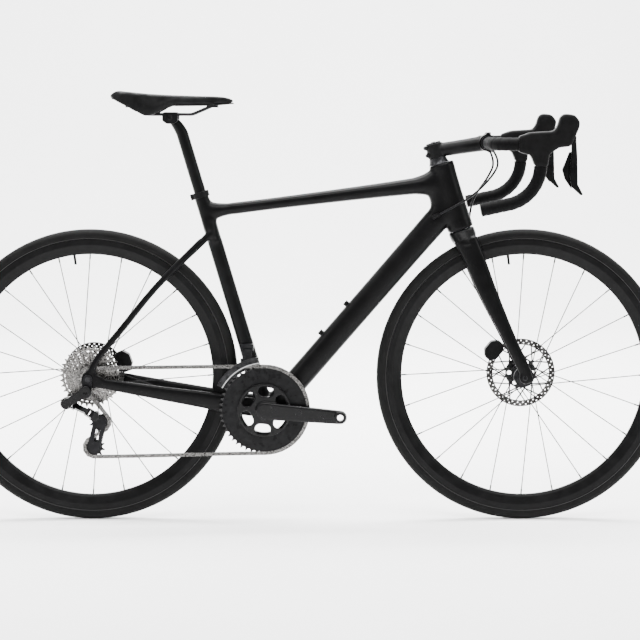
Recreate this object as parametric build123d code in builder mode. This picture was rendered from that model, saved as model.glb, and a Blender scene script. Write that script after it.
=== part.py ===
from build123d import *

import os
from math import acos, asin, atan2, cos, degrees, hypot, pi, radians, sin, tan

# Road bicycle with disc brakes. Millimetres, X forward, Y to the rider's left, Z up.
# The origin is on the ground, midway between the two axles, in the plane of the wheels.

# ---------------------------------------------------------------- driving dimensions
WHEELBASE = 1000.0
TYRE_RADIUS = 339.0
TYRE_WIDTH = 28.0
TYRE_WALL = 2.5
RIM_DEPTH = 35.0
RIM_WIDTH = 26.0
RIM_EDGE = 23.0  # from the tread down to the rim's edge
SPOKES = 24
SPOKE_RADIUS = 1.1
BB_DROP = 75.0
STAY_ROOM = 63.0  # from the tread to the bottom bracket, measured along the ground
CHAINSTAY_RUN = TYRE_RADIUS + STAY_ROOM
SEAT_ANGLE = 73.5
HEAD_ANGLE = 73.0
FORK_RAKE = 45.0
CROWN_ROOM = 26.0  # from the tread to the crown, along the steering axis
FORK_LENGTH = TYRE_RADIUS + CROWN_ROOM
HEAD_LENGTH = 158.0
SEAT_TUBE_LENGTH = 521.0
SEAT_TUBE_RADIUS = 17.0
POST_RADIUS = 13.6
POST_TOP = 660.0  # bottom bracket to the top of the round post, along the seat tube
POST_LENGTH = 320.0
POST_DROP_ROOM = 80.0  # how far the post can sink
STEM_LENGTH = 120.0
STEM_RISE = 8.8  # above the horizontal, in degrees
STEM_STACK = 31.5  # head tube's top to the middle of the stem's clamp
BAR_RADIUS = 12.0
BAR_CLAMP_RADIUS = 15.9
BAR_WALL = 2.0
TAPE_RADIUS = 15.0
BAR_HALF_WIDTH = 210.0
BAR_BEND = 42.0
HOOK_UPPER = 48.0
HOOK_LOWER = 85.0
HOOK_TURN = 78.0
BAR_END_RUN = 63.0
CRANK_LENGTH = 175.0
CRANK_ANGLE = -5.0  # the right arm points forward and slightly down
HUB_FRONT = 100.0  # between the fork ends
HUB_REAR = 142.0
AXLE_RADIUS = 6.0
ROTOR_FRONT_RADIUS = 80.0
ROTOR_REAR_RADIUS = 70.0
ROTOR_THICK = 1.8
CHAIN_PITCH = 12.7
ROLLER_RADIUS = 3.85
BIG_RING_TEETH = 50
SMALL_RING_TEETH = 34
BIG_RING_Y = -47.0
SMALL_RING_Y = -40.0
COG_TEETH = (11, 12, 13, 14, 15, 17, 19, 21, 24, 27, 30, 34)
COG_STEP = 3.55
FIRST_COG_Y = -66.0
CHAIN_COG = 1  # index of the cog that the chain runs on
PULLEY_TEETH = 11
HOSE_RADIUS = 2.5
TUBE_WALL = 1.8

# Brake hoses: from a boss under the handlebar to the fork's left shoulder, and to a
# port on the right of the frame, behind the head tube.
FRONT_HOSE = [
    (423, 52, 858), (436, 40, 832), (418, 20, 796), (386, 28, 752), (377, 33, 714), (374, 31, 680),
]
REAR_HOSE = [
    (423, -52, 858), (440, -38, 834), (424, -24, 800), (386, -38, 762), (345, -46, 736), (303, -30, 713),
]

RUNNING = 0.05  # radial clearance of a turning fit
SLIDE = 0.03  # radial clearance of a sliding fit
SEAM = 0.5  # gap between a turning piece and the fixed one beside it
SEAT_GAP = 0.25  # between a chain roller and the seat of a tooth gap

# ---------------------------------------------------------------- derived places
REAR_AXLE = Vector(-WHEELBASE / 2, 0, TYRE_RADIUS)
FRONT_AXLE = Vector(WHEELBASE / 2, 0, TYRE_RADIUS)
BB = Vector(REAR_AXLE.X + CHAINSTAY_RUN, 0, TYRE_RADIUS - BB_DROP)
SEAT_DIR = Vector(-cos(radians(SEAT_ANGLE)), 0, sin(radians(SEAT_ANGLE)))
SEAT_FRONT = Vector(sin(radians(SEAT_ANGLE)), 0, cos(radians(SEAT_ANGLE)))
STEER_DIR = Vector(-cos(radians(HEAD_ANGLE)), 0, sin(radians(HEAD_ANGLE)))
AHEAD_DIR = Vector(sin(radians(HEAD_ANGLE)), 0, cos(radians(HEAD_ANGLE)))
STEER_FOOT = FRONT_AXLE - AHEAD_DIR * FORK_RAKE
STEM_DIR = Vector(cos(radians(STEM_RISE)), 0, sin(radians(STEM_RISE)))
LEFT = Vector(0, 1, 0)
UP = Vector(0, 0, 1)


def on_steerer(along, ahead=0.0, side=0.0):
    """A point given along the steering axis, ahead of it and to its left."""
    return STEER_FOOT + STEER_DIR * along + AHEAD_DIR * ahead + LEFT * side


def steerer_plane(along, ahead=0.0):
    """A plane across the steering axis, its X pointing ahead and its Y to the left."""
    return Plane(origin=on_steerer(along, ahead), x_dir=AHEAD_DIR, z_dir=STEER_DIR)


def on_seat_tube(along, ahead=0.0, side=0.0):
    """A point given along the seat tube from the bottom bracket, ahead of it and left."""
    return BB + SEAT_DIR * along + SEAT_FRONT * ahead + LEFT * side


def seat_plane(along, ahead=0.0):
    """A plane across the seat tube, its X pointing ahead and its Y to the left."""
    return Plane(origin=on_seat_tube(along, ahead), x_dir=SEAT_FRONT, z_dir=SEAT_DIR)


def side_plane(centre, y=0.0):
    """A plane parallel to the wheels through centre, facing right, its axes X and Z."""
    return Plane(origin=(centre.X, y, centre.Z), x_dir=(1, 0, 0), z_dir=(0, -1, 0))


def polar(centre, radius, angle, y=0.0):
    """A point at a radius and an angle in degrees around centre, seen from the right."""
    turn = radians(angle)
    return Vector(centre.X + radius * cos(turn), y, centre.Z + radius * sin(turn))


def disc(centre, radius, y_from, y_to, mode=Mode.ADD):
    """A cylinder along Y through centre, between two Y places."""
    with BuildSketch(side_plane(centre, y_to)) as face:
        Circle(radius)
    return extrude(face.sketch, amount=y_to - y_from, mode=mode)


def round_bar(plane, radius, length, mode=Mode.ADD):
    """A cylinder that stands on a plane."""
    with BuildSketch(plane) as face:
        Circle(radius)
    return extrude(face.sketch, amount=length, mode=mode)


def rod(start, end, radius, mode=Mode.ADD):
    """A round rod between two points."""
    return round_bar(Plane(origin=start, z_dir=end - start), radius, (end - start).length, mode)


def plate(outline, y_from, y_to, corner=0.0, mode=Mode.ADD):
    """A plate with an outline in X and Z between two Y places, its corners rounded."""
    with BuildSketch(side_plane(Vector(0, 0, 0), y_to)) as face:
        with BuildLine():
            Polyline(outline, close=True)
        make_face()
        if corner:
            fillet(face.vertices(), corner)
    return extrude(face.sketch, amount=y_to - y_from, mode=mode)


def strap(first, second, radius, y_from, y_to, mode=Mode.ADD):
    """A flat bar with round ends between two points, between two Y places."""
    middle = (first + second) / 2
    run = second - first
    turn = degrees(atan2(run.Z, run.X))
    with BuildSketch(side_plane(middle, y_to)) as face:
        SlotCenterToCenter(hypot(run.X, run.Z), 2 * radius, rotation=turn)
    return extrude(face.sketch, amount=y_to - y_from, mode=mode)


def turned(centre, outline, mode=Mode.ADD):
    """A solid of revolution about the Y axis through centre, from (radius, y) pairs."""
    with BuildSketch(Plane(origin=(centre.X, 0, centre.Z), x_dir=(1, 0, 0), z_dir=(0, 0, 1))) as face:
        with BuildLine():
            Polyline(outline, close=True)
        make_face()
    return revolve(face.sketch, axis=Axis((centre.X, 0, centre.Z), (0, 1, 0)), mode=mode)


def oval_loft(sections, mode=Mode.ADD):
    """A loft through ovals: (point, direction, width along Y, depth) for each."""
    faces = []
    for point, direction, width, depth in sections:
        with BuildSketch(Plane(origin=point, x_dir=(0, 1, 0), z_dir=direction)) as face:
            Ellipse(width / 2, depth / 2)
        faces.append(face.sketch.faces()[0])
    return loft(faces, mode=mode)


def thinner(sections, wall):
    """The same ovals, smaller by a wall on every side."""
    return [(point, to, width - 2 * wall, depth - 2 * wall) for point, to, width, depth in sections]


def hose_boss(end, beside, radius, length):
    """A round boss that meets the end of a hose squarely and runs on from it."""
    end = Vector(*end)
    into = (end - Vector(*beside)).normalized()
    rod(end, end + into * length, radius)


def keep(piece, name):
    """Labels a finished piece and writes it."""
    piece.part.label = name
    export_step(piece.part, f"parts/{name}.step")


def largest(part):
    """The biggest solid of a part that trimming has left with offcuts."""
    return max(part.solids(), key=lambda solid: solid.volume)


os.makedirs("parts", exist_ok=True)

# ---------------------------------------------------------------- frame
HEAD_BOTTOM = FORK_LENGTH + 1.5
HEAD_TOP = HEAD_BOTTOM + HEAD_LENGTH
STEM_SEAT = HEAD_TOP + STEM_STACK
HEAD_AHEAD = 4.5  # the head tube's middle, ahead of the steering axis
HEAD_HALF_DEPTH = 30.0
HEAD_HALF_WIDTH = 27.0
HEAD_TAPER = 1.5
STEERER_RADIUS = 14.3
UPPER_BEARING_RADIUS = 21.0
LOWER_BEARING_RADIUS = 23.6
BEARING_DEPTH = 7.0
SHELL_RADIUS = 24.0
SHELL_HALF_WIDTH = 36.0
SPINDLE_RADIUS = 12.0
CUP_RADIUS = 20.5
POST_BORE_BOTTOM = POST_TOP - POST_LENGTH - POST_DROP_ROOM
TOP_TUBE_DROP = 44.0  # below the head tube's top, where the two axes meet
TOP_TUBE_SEAT = 473.0  # along the seat tube, where the two axes meet
DOWN_TUBE_RISE = 63.5  # above the head tube's foot, where the two axes meet
DOWN_TUBE_HEAD = HEAD_BOTTOM + DOWN_TUBE_RISE
DOWN_TUBE_AHEAD = 21.0  # ahead of the bottom bracket, at its lower end
DROPOUT_INNER = HUB_REAR / 2
DROPOUT_THICK = 7.0
DROPOUT_OUTER = DROPOUT_INNER + DROPOUT_THICK

with BuildPart() as head_blank:
    for along, trim in ((HEAD_BOTTOM, 0), (HEAD_BOTTOM + HEAD_LENGTH / 2, HEAD_TAPER), (HEAD_TOP, HEAD_TAPER)):
        with BuildSketch(steerer_plane(along, HEAD_AHEAD)):
            Ellipse(HEAD_HALF_DEPTH - trim, HEAD_HALF_WIDTH - trim)
    loft()

with BuildPart() as head_tube:
    add(head_blank.part)
    round_bar(steerer_plane(HEAD_BOTTOM), STEERER_RADIUS + 3, HEAD_LENGTH, Mode.SUBTRACT)
    round_bar(steerer_plane(HEAD_BOTTOM), LOWER_BEARING_RADIUS, BEARING_DEPTH, Mode.SUBTRACT)
    round_bar(
        steerer_plane(HEAD_TOP - BEARING_DEPTH), UPPER_BEARING_RADIUS, BEARING_DEPTH, Mode.SUBTRACT
    )
keep(head_tube, "head_tube")

with BuildPart() as seat_blank:
    oval_loft(
        [
            (on_seat_tube(0), SEAT_DIR, 2 * SEAT_TUBE_RADIUS + 12, 2 * SEAT_TUBE_RADIUS + 6),
            (on_seat_tube(SEAT_TUBE_LENGTH / 4), SEAT_DIR, 2 * SEAT_TUBE_RADIUS, 2 * SEAT_TUBE_RADIUS),
        ]
    )
    round_bar(seat_plane(SEAT_TUBE_LENGTH / 4), SEAT_TUBE_RADIUS, SEAT_TUBE_LENGTH * 3 / 4)
    disc(BB, SHELL_RADIUS, -SHELL_HALF_WIDTH, SHELL_HALF_WIDTH)

with BuildPart() as seat_tube:
    add(seat_blank.part)
    disc(BB, CUP_RADIUS, -SHELL_HALF_WIDTH, SHELL_HALF_WIDTH, Mode.SUBTRACT)
    round_bar(
        seat_plane(POST_BORE_BOTTOM), POST_RADIUS + SLIDE, SEAT_TUBE_LENGTH - POST_BORE_BOTTOM,
        Mode.SUBTRACT,
    )
    round_bar(
        seat_plane(SHELL_RADIUS + 6), POST_RADIUS - 1, POST_BORE_BOTTOM - SHELL_RADIUS - 6,
        Mode.SUBTRACT,
    )
keep(seat_tube, "seat_tube")

TOP_TUBE_START = on_seat_tube(TOP_TUBE_SEAT)
TOP_TUBE_RUN = on_steerer(HEAD_TOP - TOP_TUBE_DROP) - TOP_TUBE_START
TOP_TUBE_OVALS = [
    (TOP_TUBE_START + TOP_TUBE_RUN * share, TOP_TUBE_RUN, width, depth)
    for share, width, depth in ((0, 28, 29), (0.3, 34, 27), (0.75, 40, 34), (1, 42, 44))
]
with BuildPart() as top_tube:
    oval_loft(TOP_TUBE_OVALS)
    oval_loft(thinner(TOP_TUBE_OVALS, TUBE_WALL), Mode.SUBTRACT)
    add(seat_blank.part, mode=Mode.SUBTRACT)
    add(head_blank.part, mode=Mode.SUBTRACT)
keep(top_tube, "top_tube")

DOWN_TUBE_START = BB + Vector(DOWN_TUBE_AHEAD, 0, 0)
DOWN_TUBE_RUN = on_steerer(DOWN_TUBE_HEAD) - DOWN_TUBE_START
DOWN_TUBE_OVALS = [
    (DOWN_TUBE_START + DOWN_TUBE_RUN * share, DOWN_TUBE_RUN, width, depth)
    for share, width, depth in ((0, 56, 56), (0.25, 50, 55), (0.75, 46, 56), (1, 46, 60))
]
with BuildPart() as down_blank:
    oval_loft(DOWN_TUBE_OVALS)
with BuildPart() as down_tube:
    add(down_blank.part)
    oval_loft(thinner(DOWN_TUBE_OVALS, TUBE_WALL), Mode.SUBTRACT)
    add(seat_blank.part, mode=Mode.SUBTRACT)
    add(head_blank.part, mode=Mode.SUBTRACT)
    oval_loft(TOP_TUBE_OVALS, Mode.SUBTRACT)
keep(down_tube, "down_tube")

# Stays: X, distance from the wheel plane, Z, height and thickness of each section.
CHAINSTAY_STATIONS = (
    (BB.X - 6, 23.0, BB.Z + 1, 46.0, 18.0),
    (BB.X - 79, 29.5, BB.Z + 10, 44.0, 15.0),
    (BB.X - 139, 38.5, BB.Z + 22, 40.0, 15.0),
    (REAR_AXLE.X + 170, DROPOUT_INNER - 17, REAR_AXLE.Z - 36, 33.0, 15.0),
    (REAR_AXLE.X + 84, DROPOUT_INNER - 5, REAR_AXLE.Z - 20, 28.0, 12.0),
    (REAR_AXLE.X + 22, DROPOUT_INNER + DROPOUT_THICK / 2, REAR_AXLE.Z - 8, 24.0, DROPOUT_THICK),
)
SEATSTAY_STATIONS = (
    (REAR_AXLE.X + 7, DROPOUT_INNER + DROPOUT_THICK / 2, REAR_AXLE.Z + 15, 17.0, DROPOUT_THICK),
    (REAR_AXLE.X + 24, DROPOUT_INNER + 2.5, REAR_AXLE.Z + 50, 15.0, 8.0),
    (REAR_AXLE.X + 70, DROPOUT_INNER - 10, REAR_AXLE.Z + 106, 15.0, 10.0),
    (REAR_AXLE.X + 160, 41.0, REAR_AXLE.Z + 214, 15.0, 11.0),
    (on_seat_tube(425).X, 20.5, on_seat_tube(425).Z, 18.0, 12.0),
)


def stay(stations, side):
    """A stay lofted through its stations, on side -1 (right) or 1 (left)."""
    points = [Vector(x, side * y, z) for x, y, z, height, thick in stations]
    ovals = []
    for i, (x, y, z, height, thick) in enumerate(stations):
        run = points[min(i + 1, len(points) - 1)] - points[max(i - 1, 0)]
        if i in (0, len(points) - 1):
            run = Vector(run.X, 0, run.Z)
        ovals.append((points[i], run, thick, height))
    return oval_loft(ovals)


def dropout(side, mode=Mode.ADD):
    """The plate that holds the rear axle, on side -1 (right) or 1 (left)."""
    low, high = sorted((side * DROPOUT_INNER, side * DROPOUT_OUTER))
    outline = [(-17, -6), (-13, -17), (10, -22), (34, -19), (34, 5), (18, 12), (20, 30), (4, 24), (-13, 11)]
    plate([(REAR_AXLE.X + x, REAR_AXLE.Z + z) for x, z in outline], low, high, 3.0, mode)


chainstay_halves = []
seatstay_halves = []
for side in (-1, 1):
    with BuildPart() as half:
        stay(CHAINSTAY_STATIONS, side)
        dropout(side)
        disc(REAR_AXLE, AXLE_RADIUS, -DROPOUT_OUTER - 1, DROPOUT_OUTER + 1, Mode.SUBTRACT)
        disc(REAR_AXLE, TYRE_RADIUS + 6, -TYRE_WIDTH / 2 - 5, TYRE_WIDTH / 2 + 5, Mode.SUBTRACT)
        add(seat_blank.part, mode=Mode.SUBTRACT)
        add(down_blank.part, mode=Mode.SUBTRACT)
    chainstay_halves.append(largest(half.part))
    with BuildPart() as half:
        stay(SEATSTAY_STATIONS, side)
        dropout(side, Mode.SUBTRACT)
        add(seat_blank.part, mode=Mode.SUBTRACT)
        add(chainstay_halves[-1], mode=Mode.SUBTRACT)
    seatstay_halves.append(largest(half.part))
with BuildPart() as chainstays:
    add(chainstay_halves)
keep(chainstays, "chainstays")
with BuildPart() as seatstays:
    add(seatstay_halves)
keep(seatstays, "seatstays")

# The hanger is bolted outside the right dropout and carries the rear derailleur.
HANGER_THICK = 6.0
HANGER_OUTER = DROPOUT_OUTER + HANGER_THICK
HANGER_BOLT = Vector(REAR_AXLE.X - 4, 0, REAR_AXLE.Z - 27)
with BuildPart() as derailleur_hanger:
    strap(REAR_AXLE, HANGER_BOLT, 10.5, -HANGER_OUTER, -DROPOUT_OUTER)
    disc(REAR_AXLE, AXLE_RADIUS, -HANGER_OUTER, -DROPOUT_OUTER, Mode.SUBTRACT)
    disc(HANGER_BOLT, 5.0, -HANGER_OUTER, -DROPOUT_OUTER, Mode.SUBTRACT)
keep(derailleur_hanger, "derailleur_hanger")

with BuildPart() as rear_axle:
    disc(REAR_AXLE, AXLE_RADIUS, -HANGER_OUTER, DROPOUT_OUTER)
    disc(REAR_AXLE, 9.5, DROPOUT_OUTER, DROPOUT_OUTER + 3.5)
    with BuildSketch(side_plane(REAR_AXLE, DROPOUT_OUTER + 3.5)):
        RegularPolygon(3.0, 6)
    extrude(amount=6, mode=Mode.SUBTRACT)
keep(rear_axle, "rear_axle")

CLAMP_HEIGHT = 14.0
CLAMP_WALL = 2.5
CLAMP_BACK = -SEAT_TUBE_RADIUS - CLAMP_WALL
CLAMP_SLOT = 1.5
CLAMP_BOLT = 2.0
CLAMP_BOLT_HALF = 9.0
with BuildPart() as seat_clamp:
    with BuildSketch(seat_plane(SEAT_TUBE_LENGTH - CLAMP_HEIGHT)):
        Circle(SEAT_TUBE_RADIUS + CLAMP_WALL)
        with Locations((CLAMP_BACK, 0)):
            Rectangle(10, 13)
        Circle(SEAT_TUBE_RADIUS, mode=Mode.SUBTRACT)
        with Locations((CLAMP_BACK, 0)):
            Rectangle(14, CLAMP_SLOT, mode=Mode.SUBTRACT)
    extrude(amount=CLAMP_HEIGHT)
    bolt_at = on_seat_tube(SEAT_TUBE_LENGTH - CLAMP_HEIGHT / 2, CLAMP_BACK - 1.5)
    disc(bolt_at, CLAMP_BOLT, -CLAMP_BOLT_HALF, CLAMP_BOLT_HALF)
    disc(bolt_at, CLAMP_BOLT + 1.2, -CLAMP_BOLT_HALF, -6.5)
keep(seat_clamp, "seat_clamp")

# Two bottle bosses stand on the down tube, each with a blind thread, and the rear
# brake hose goes into the frame through a port on the right of the head tube.
BOSS_RADIUS = 6.5
BOSS_RISE = 8.0
BOSS_THREAD_RADIUS = 2.5
BOSS_SHARES = (0.325, 0.468)  # of the down tube's axis, from the bottom bracket
DOWN_DIR = DOWN_TUBE_RUN.normalized()
DOWN_TOP = Vector(-DOWN_DIR.Z, 0, DOWN_DIR.X)
DOWN_TUBE_HALF_DEPTH = 27.5
with BuildPart() as frame_fittings:
    for share in BOSS_SHARES:
        foot = DOWN_TUBE_START + DOWN_TUBE_RUN * share
        top = foot + DOWN_TOP * (DOWN_TUBE_HALF_DEPTH + BOSS_RISE)
        rod(foot + DOWN_TOP * DOWN_TUBE_HALF_DEPTH / 2, top, BOSS_RADIUS)
        rod(top - DOWN_TOP * (BOSS_RISE - 1), top, BOSS_THREAD_RADIUS, Mode.SUBTRACT)
    hose_boss(REAR_HOSE[-1], REAR_HOSE[-2], 5.0, 18)
    add(down_blank.part, mode=Mode.SUBTRACT)
    add(head_blank.part, mode=Mode.SUBTRACT)
keep(frame_fittings, "frame_fittings")

# Steering bearings and the two cups that carry the crank's spindle.
CUP_DEPTH = 16.0
CUP_FLANGE = 2.5
with BuildPart() as frame_bearings:
    for along, outer in (
        (HEAD_BOTTOM, LOWER_BEARING_RADIUS),
        (HEAD_TOP - BEARING_DEPTH, UPPER_BEARING_RADIUS),
    ):
        round_bar(steerer_plane(along), outer, BEARING_DEPTH)
    round_bar(steerer_plane(HEAD_BOTTOM), STEERER_RADIUS + RUNNING, HEAD_LENGTH, Mode.SUBTRACT)
    for side in (-1, 1):
        inner, face, flange = (
            side * (SHELL_HALF_WIDTH - CUP_DEPTH), side * SHELL_HALF_WIDTH,
            side * (SHELL_HALF_WIDTH + CUP_FLANGE),
        )
        outline = [
            (SPINDLE_RADIUS + RUNNING, inner), (CUP_RADIUS, inner), (CUP_RADIUS, face),
            (CUP_RADIUS + 2, face), (CUP_RADIUS + 2, flange), (SPINDLE_RADIUS + RUNNING, flange),
        ]
        turned(BB, outline)
keep(frame_bearings, "frame_bearings")


# ---------------------------------------------------------------- fork and steering
# Fork legs: along the steering axis, ahead of it, to the side, thickness and depth.
LEG_STATIONS = (
    (-14, FORK_RAKE + 6, HUB_FRONT / 2 + 6.5, 12.0, 24.0),
    (27, FORK_RAKE + 3, HUB_FRONT / 2 + 6.5, 13.0, 29.0),
    (95, FORK_RAKE - 7.5, HUB_FRONT / 2 + 3.5, 14.0, 30.0),
    (206, 21.6, 43.0, 15.0, 42.0),
    (280, 15.0, 35.5, 18.0, 47.0),
    (FORK_LENGTH - 22, 7.0, 26.0, 26.0, 55.0),
)
TYRE_ROOM = 7.0
TYRE_SIDE_ROOM = 7.0
STEM_CLAMP_HALF = 16.5
STEERER_TOP = STEM_SEAT + STEM_CLAMP_HALF
with BuildPart() as fork:
    for side in (-1, 1):
        oval_loft(
            [
                (on_steerer(along, ahead, side * out), STEER_DIR, thick, depth)
                for along, ahead, out, thick, depth in LEG_STATIONS
            ]
        )
        disc(FRONT_AXLE, 12.5, *sorted((side * HUB_FRONT / 2, side * (HUB_FRONT / 2 + 13))))
    oval_loft(
        [
            (on_steerer(FORK_LENGTH - 34, 9), STEER_DIR, 86, 48),
            (on_steerer(FORK_LENGTH - 20, 6), STEER_DIR, 76, 59),
            (on_steerer(FORK_LENGTH, HEAD_AHEAD), STEER_DIR, 2 * HEAD_HALF_WIDTH, 2 * HEAD_HALF_DEPTH),
        ]
    )
    tyre_half = TYRE_WIDTH / 2 + TYRE_SIDE_ROOM
    disc(FRONT_AXLE, TYRE_RADIUS + TYRE_ROOM, -tyre_half, tyre_half, Mode.SUBTRACT)
    disc(FRONT_AXLE, ROTOR_FRONT_RADIUS + 3, -HUB_FRONT / 2, HUB_FRONT / 2, Mode.SUBTRACT)
    disc(FRONT_AXLE, AXLE_RADIUS, -HUB_FRONT, HUB_FRONT, Mode.SUBTRACT)
    hose_boss(FRONT_HOSE[-1], FRONT_HOSE[-2], 4.5, 18)
    round_bar(steerer_plane(FORK_LENGTH), STEERER_RADIUS, STEERER_TOP - FORK_LENGTH)
keep(fork, "fork")

with BuildPart() as front_axle:
    disc(FRONT_AXLE, AXLE_RADIUS, -HUB_FRONT / 2 - 13, HUB_FRONT / 2 + 13)
    disc(FRONT_AXLE, 9.0, HUB_FRONT / 2 + 13, HUB_FRONT / 2 + 16)
    with BuildSketch(side_plane(FRONT_AXLE, HUB_FRONT / 2 + 16)):
        RegularPolygon(3.0, 6)
    extrude(amount=6, mode=Mode.SUBTRACT)
keep(front_axle, "front_axle")

STEM_CLAMP_RADIUS = 19.5
STEM_BOLT_RISE = 9.0  # of the two clamp bolts, above and below the clamp's middle
STEM_BOSS_HALF = 9.0
FACEPLATE_BOLT_RISE = 20.0
BAR_CLAMP_OUTER = 19.5
BAR_CLAMP_HALF = 23.0
STEM_BACK = on_steerer(STEM_SEAT)
BAR_CENTRE = STEM_BACK + STEM_DIR * STEM_LENGTH
STEM_ACROSS = Vector(-STEM_DIR.Z, 0, STEM_DIR.X)
FACEPLATE_GAP = 1.0
faceplate_plane = Plane(origin=BAR_CENTRE + STEM_DIR * 2, x_dir=(0, 1, 0), z_dir=STEM_DIR)
with BuildPart() as stem:
    round_bar(steerer_plane(STEM_SEAT - STEM_CLAMP_HALF), STEM_CLAMP_RADIUS, 2 * STEM_CLAMP_HALF)
    oval_loft(
        [
            (STEM_BACK, STEM_DIR, 38, 33),
            (STEM_BACK + STEM_DIR * STEM_LENGTH * 0.5, STEM_DIR, 36, 33),
            (BAR_CENTRE, STEM_DIR, 40, 36),
        ]
    )
    disc(BAR_CENTRE, BAR_CLAMP_OUTER, -BAR_CLAMP_HALF, BAR_CLAMP_HALF)
    clamp_back = STEM_BACK - STEM_DIR * (STEM_CLAMP_RADIUS + 1)
    for height in (-STEM_BOLT_RISE, STEM_BOLT_RISE):
        disc(clamp_back + STEER_DIR * height, 5.0, -STEM_BOSS_HALF, STEM_BOSS_HALF)
    clamp_room = STEM_CLAMP_HALF + 5
    round_bar(steerer_plane(STEM_SEAT - clamp_room), STEERER_RADIUS, 2 * clamp_room, Mode.SUBTRACT)
    disc(BAR_CENTRE, BAR_CLAMP_RADIUS, -BAR_CLAMP_HALF, BAR_CLAMP_HALF, Mode.SUBTRACT)
    with BuildSketch(faceplate_plane):
        Rectangle(60, 60)
    extrude(amount=40, mode=Mode.SUBTRACT)
    disc(BAR_CENTRE, BAR_CLAMP_OUTER, -BAR_CLAMP_HALF, BAR_CLAMP_HALF)
    for height in (-1, 1):
        boss_at = BAR_CENTRE + STEM_DIR * 3 + STEM_ACROSS * height * FACEPLATE_BOLT_RISE
        disc(boss_at, 4.0, -BAR_CLAMP_HALF, BAR_CLAMP_HALF)
    disc(BAR_CENTRE, BAR_CLAMP_RADIUS, -BAR_CLAMP_HALF, BAR_CLAMP_HALF, Mode.SUBTRACT)
    with BuildSketch(faceplate_plane):
        Rectangle(80, 80)
    extrude(amount=FACEPLATE_GAP, mode=Mode.SUBTRACT)
keep(stem, "stem")

with BuildPart() as stem_hardware:
    oval_loft(
        [
            (on_steerer(HEAD_TOP + 1), STEER_DIR, 48, 48),
            (on_steerer(HEAD_TOP + 7), STEER_DIR, 42, 42),
            (on_steerer(STEM_SEAT - STEM_CLAMP_HALF), STEER_DIR, 39, 39),
        ]
    )
    round_bar(steerer_plane(HEAD_TOP + 1), STEERER_RADIUS, STEM_STACK, Mode.SUBTRACT)
    round_bar(steerer_plane(STEM_SEAT + STEM_CLAMP_HALF), 17.0, 3.0)
    round_bar(steerer_plane(STEM_SEAT + STEM_CLAMP_HALF + 3), 5.0, 1.5)
    for height in (-STEM_BOLT_RISE, STEM_BOLT_RISE):
        for side in (-1, 1):
            low, high = sorted((side * STEM_BOSS_HALF, side * (STEM_BOSS_HALF + 3)))
            disc(clamp_back + STEER_DIR * height, 3.6, low, high)
    for height in (-1, 1):
        for side in (-1, 1):
            bolt_foot = BAR_CENTRE + STEM_DIR * 7 + STEM_ACROSS * height * FACEPLATE_BOLT_RISE
            bolt_foot += LEFT * side * 17
            rod(bolt_foot, bolt_foot + STEM_DIR * 3, 3.2)
    add(stem.part, mode=Mode.SUBTRACT)
keep(stem_hardware, "stem_hardware")


def bar_route(side, first_y, last_turn, end_run):
    """The handlebar's line on one side, from first_y to an angle of the lower hook."""
    corner = BAR_CENTRE + Vector(BAR_BEND, side * (BAR_HALF_WIDTH - BAR_BEND), 0)
    half = sin(radians(45))
    bend_mid = corner + Vector(-BAR_BEND * half, side * BAR_BEND * half, 0)
    bend_end = corner + Vector(0, side * BAR_BEND, 0)
    upper = bend_end + Vector(9, 0, 0)
    upper_centre = upper - UP * HOOK_UPPER
    hook_start = upper_centre + Vector(HOOK_UPPER, 0, 0)
    lower_centre = hook_start - Vector(HOOK_LOWER, 0, 0)
    y = side * BAR_HALF_WIDTH
    hook_end = polar(lower_centre, HOOK_LOWER, -last_turn, y)
    with BuildLine() as line:
        if first_y is not None:
            start = BAR_CENTRE + LEFT * side * first_y
            bend_start = corner - Vector(BAR_BEND, 0, 0)
            Line(start, bend_start)
            ThreePointArc(bend_start, bend_mid, bend_end)
            Line(bend_end, upper)
        if last_turn:
            if first_y is not None:
                ThreePointArc(upper, polar(upper_centre, HOOK_UPPER, 45, y), hook_start)
            ThreePointArc(hook_start, polar(lower_centre, HOOK_LOWER, -last_turn / 2, y), hook_end)
        if end_run:
            turn = radians(last_turn)
            Line(hook_end, hook_end + Vector(-sin(turn), 0, -cos(turn)) * end_run)
    return line.line


def pipe(route, radius, mode=Mode.ADD):
    """A round section swept along a route."""
    start = route @ 0
    with BuildSketch(Plane(origin=start, z_dir=route % 0)) as face:
        Circle(radius)
    return sweep(face.sketch, path=route, mode=mode)


with BuildPart() as handlebar:
    disc(BAR_CENTRE, BAR_CLAMP_RADIUS, -BAR_CLAMP_HALF - 8, BAR_CLAMP_HALF + 8)
    for side in (-1, 1):
        pipe(bar_route(side, 0, HOOK_TURN, BAR_END_RUN), BAR_RADIUS)
    for points in (FRONT_HOSE, REAR_HOSE):
        hose_boss(points[0], points[1], 4.0, 13)
    for side in (-1, 1):
        pipe(bar_route(side, 0, HOOK_TURN, BAR_END_RUN), BAR_RADIUS - BAR_WALL, Mode.SUBTRACT)
keep(handlebar, "handlebar")

TAPE_START = 63.0
with BuildPart() as bar_tape:
    for side in (-1, 1):
        top_route = bar_route(side, TAPE_START, 0, 0)
        pipe(top_route, TAPE_RADIUS)
        pipe(top_route, BAR_RADIUS, Mode.SUBTRACT)
        low_route = bar_route(side, None, HOOK_TURN, BAR_END_RUN)
        pipe(low_route, TAPE_RADIUS)
        pipe(low_route, BAR_RADIUS, Mode.SUBTRACT)
        plug_at = low_route @ 1
        rod(plug_at, plug_at + (low_route % 1) * 2.5, TAPE_RADIUS - 1)
keep(bar_tape, "bar_tape")

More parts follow.
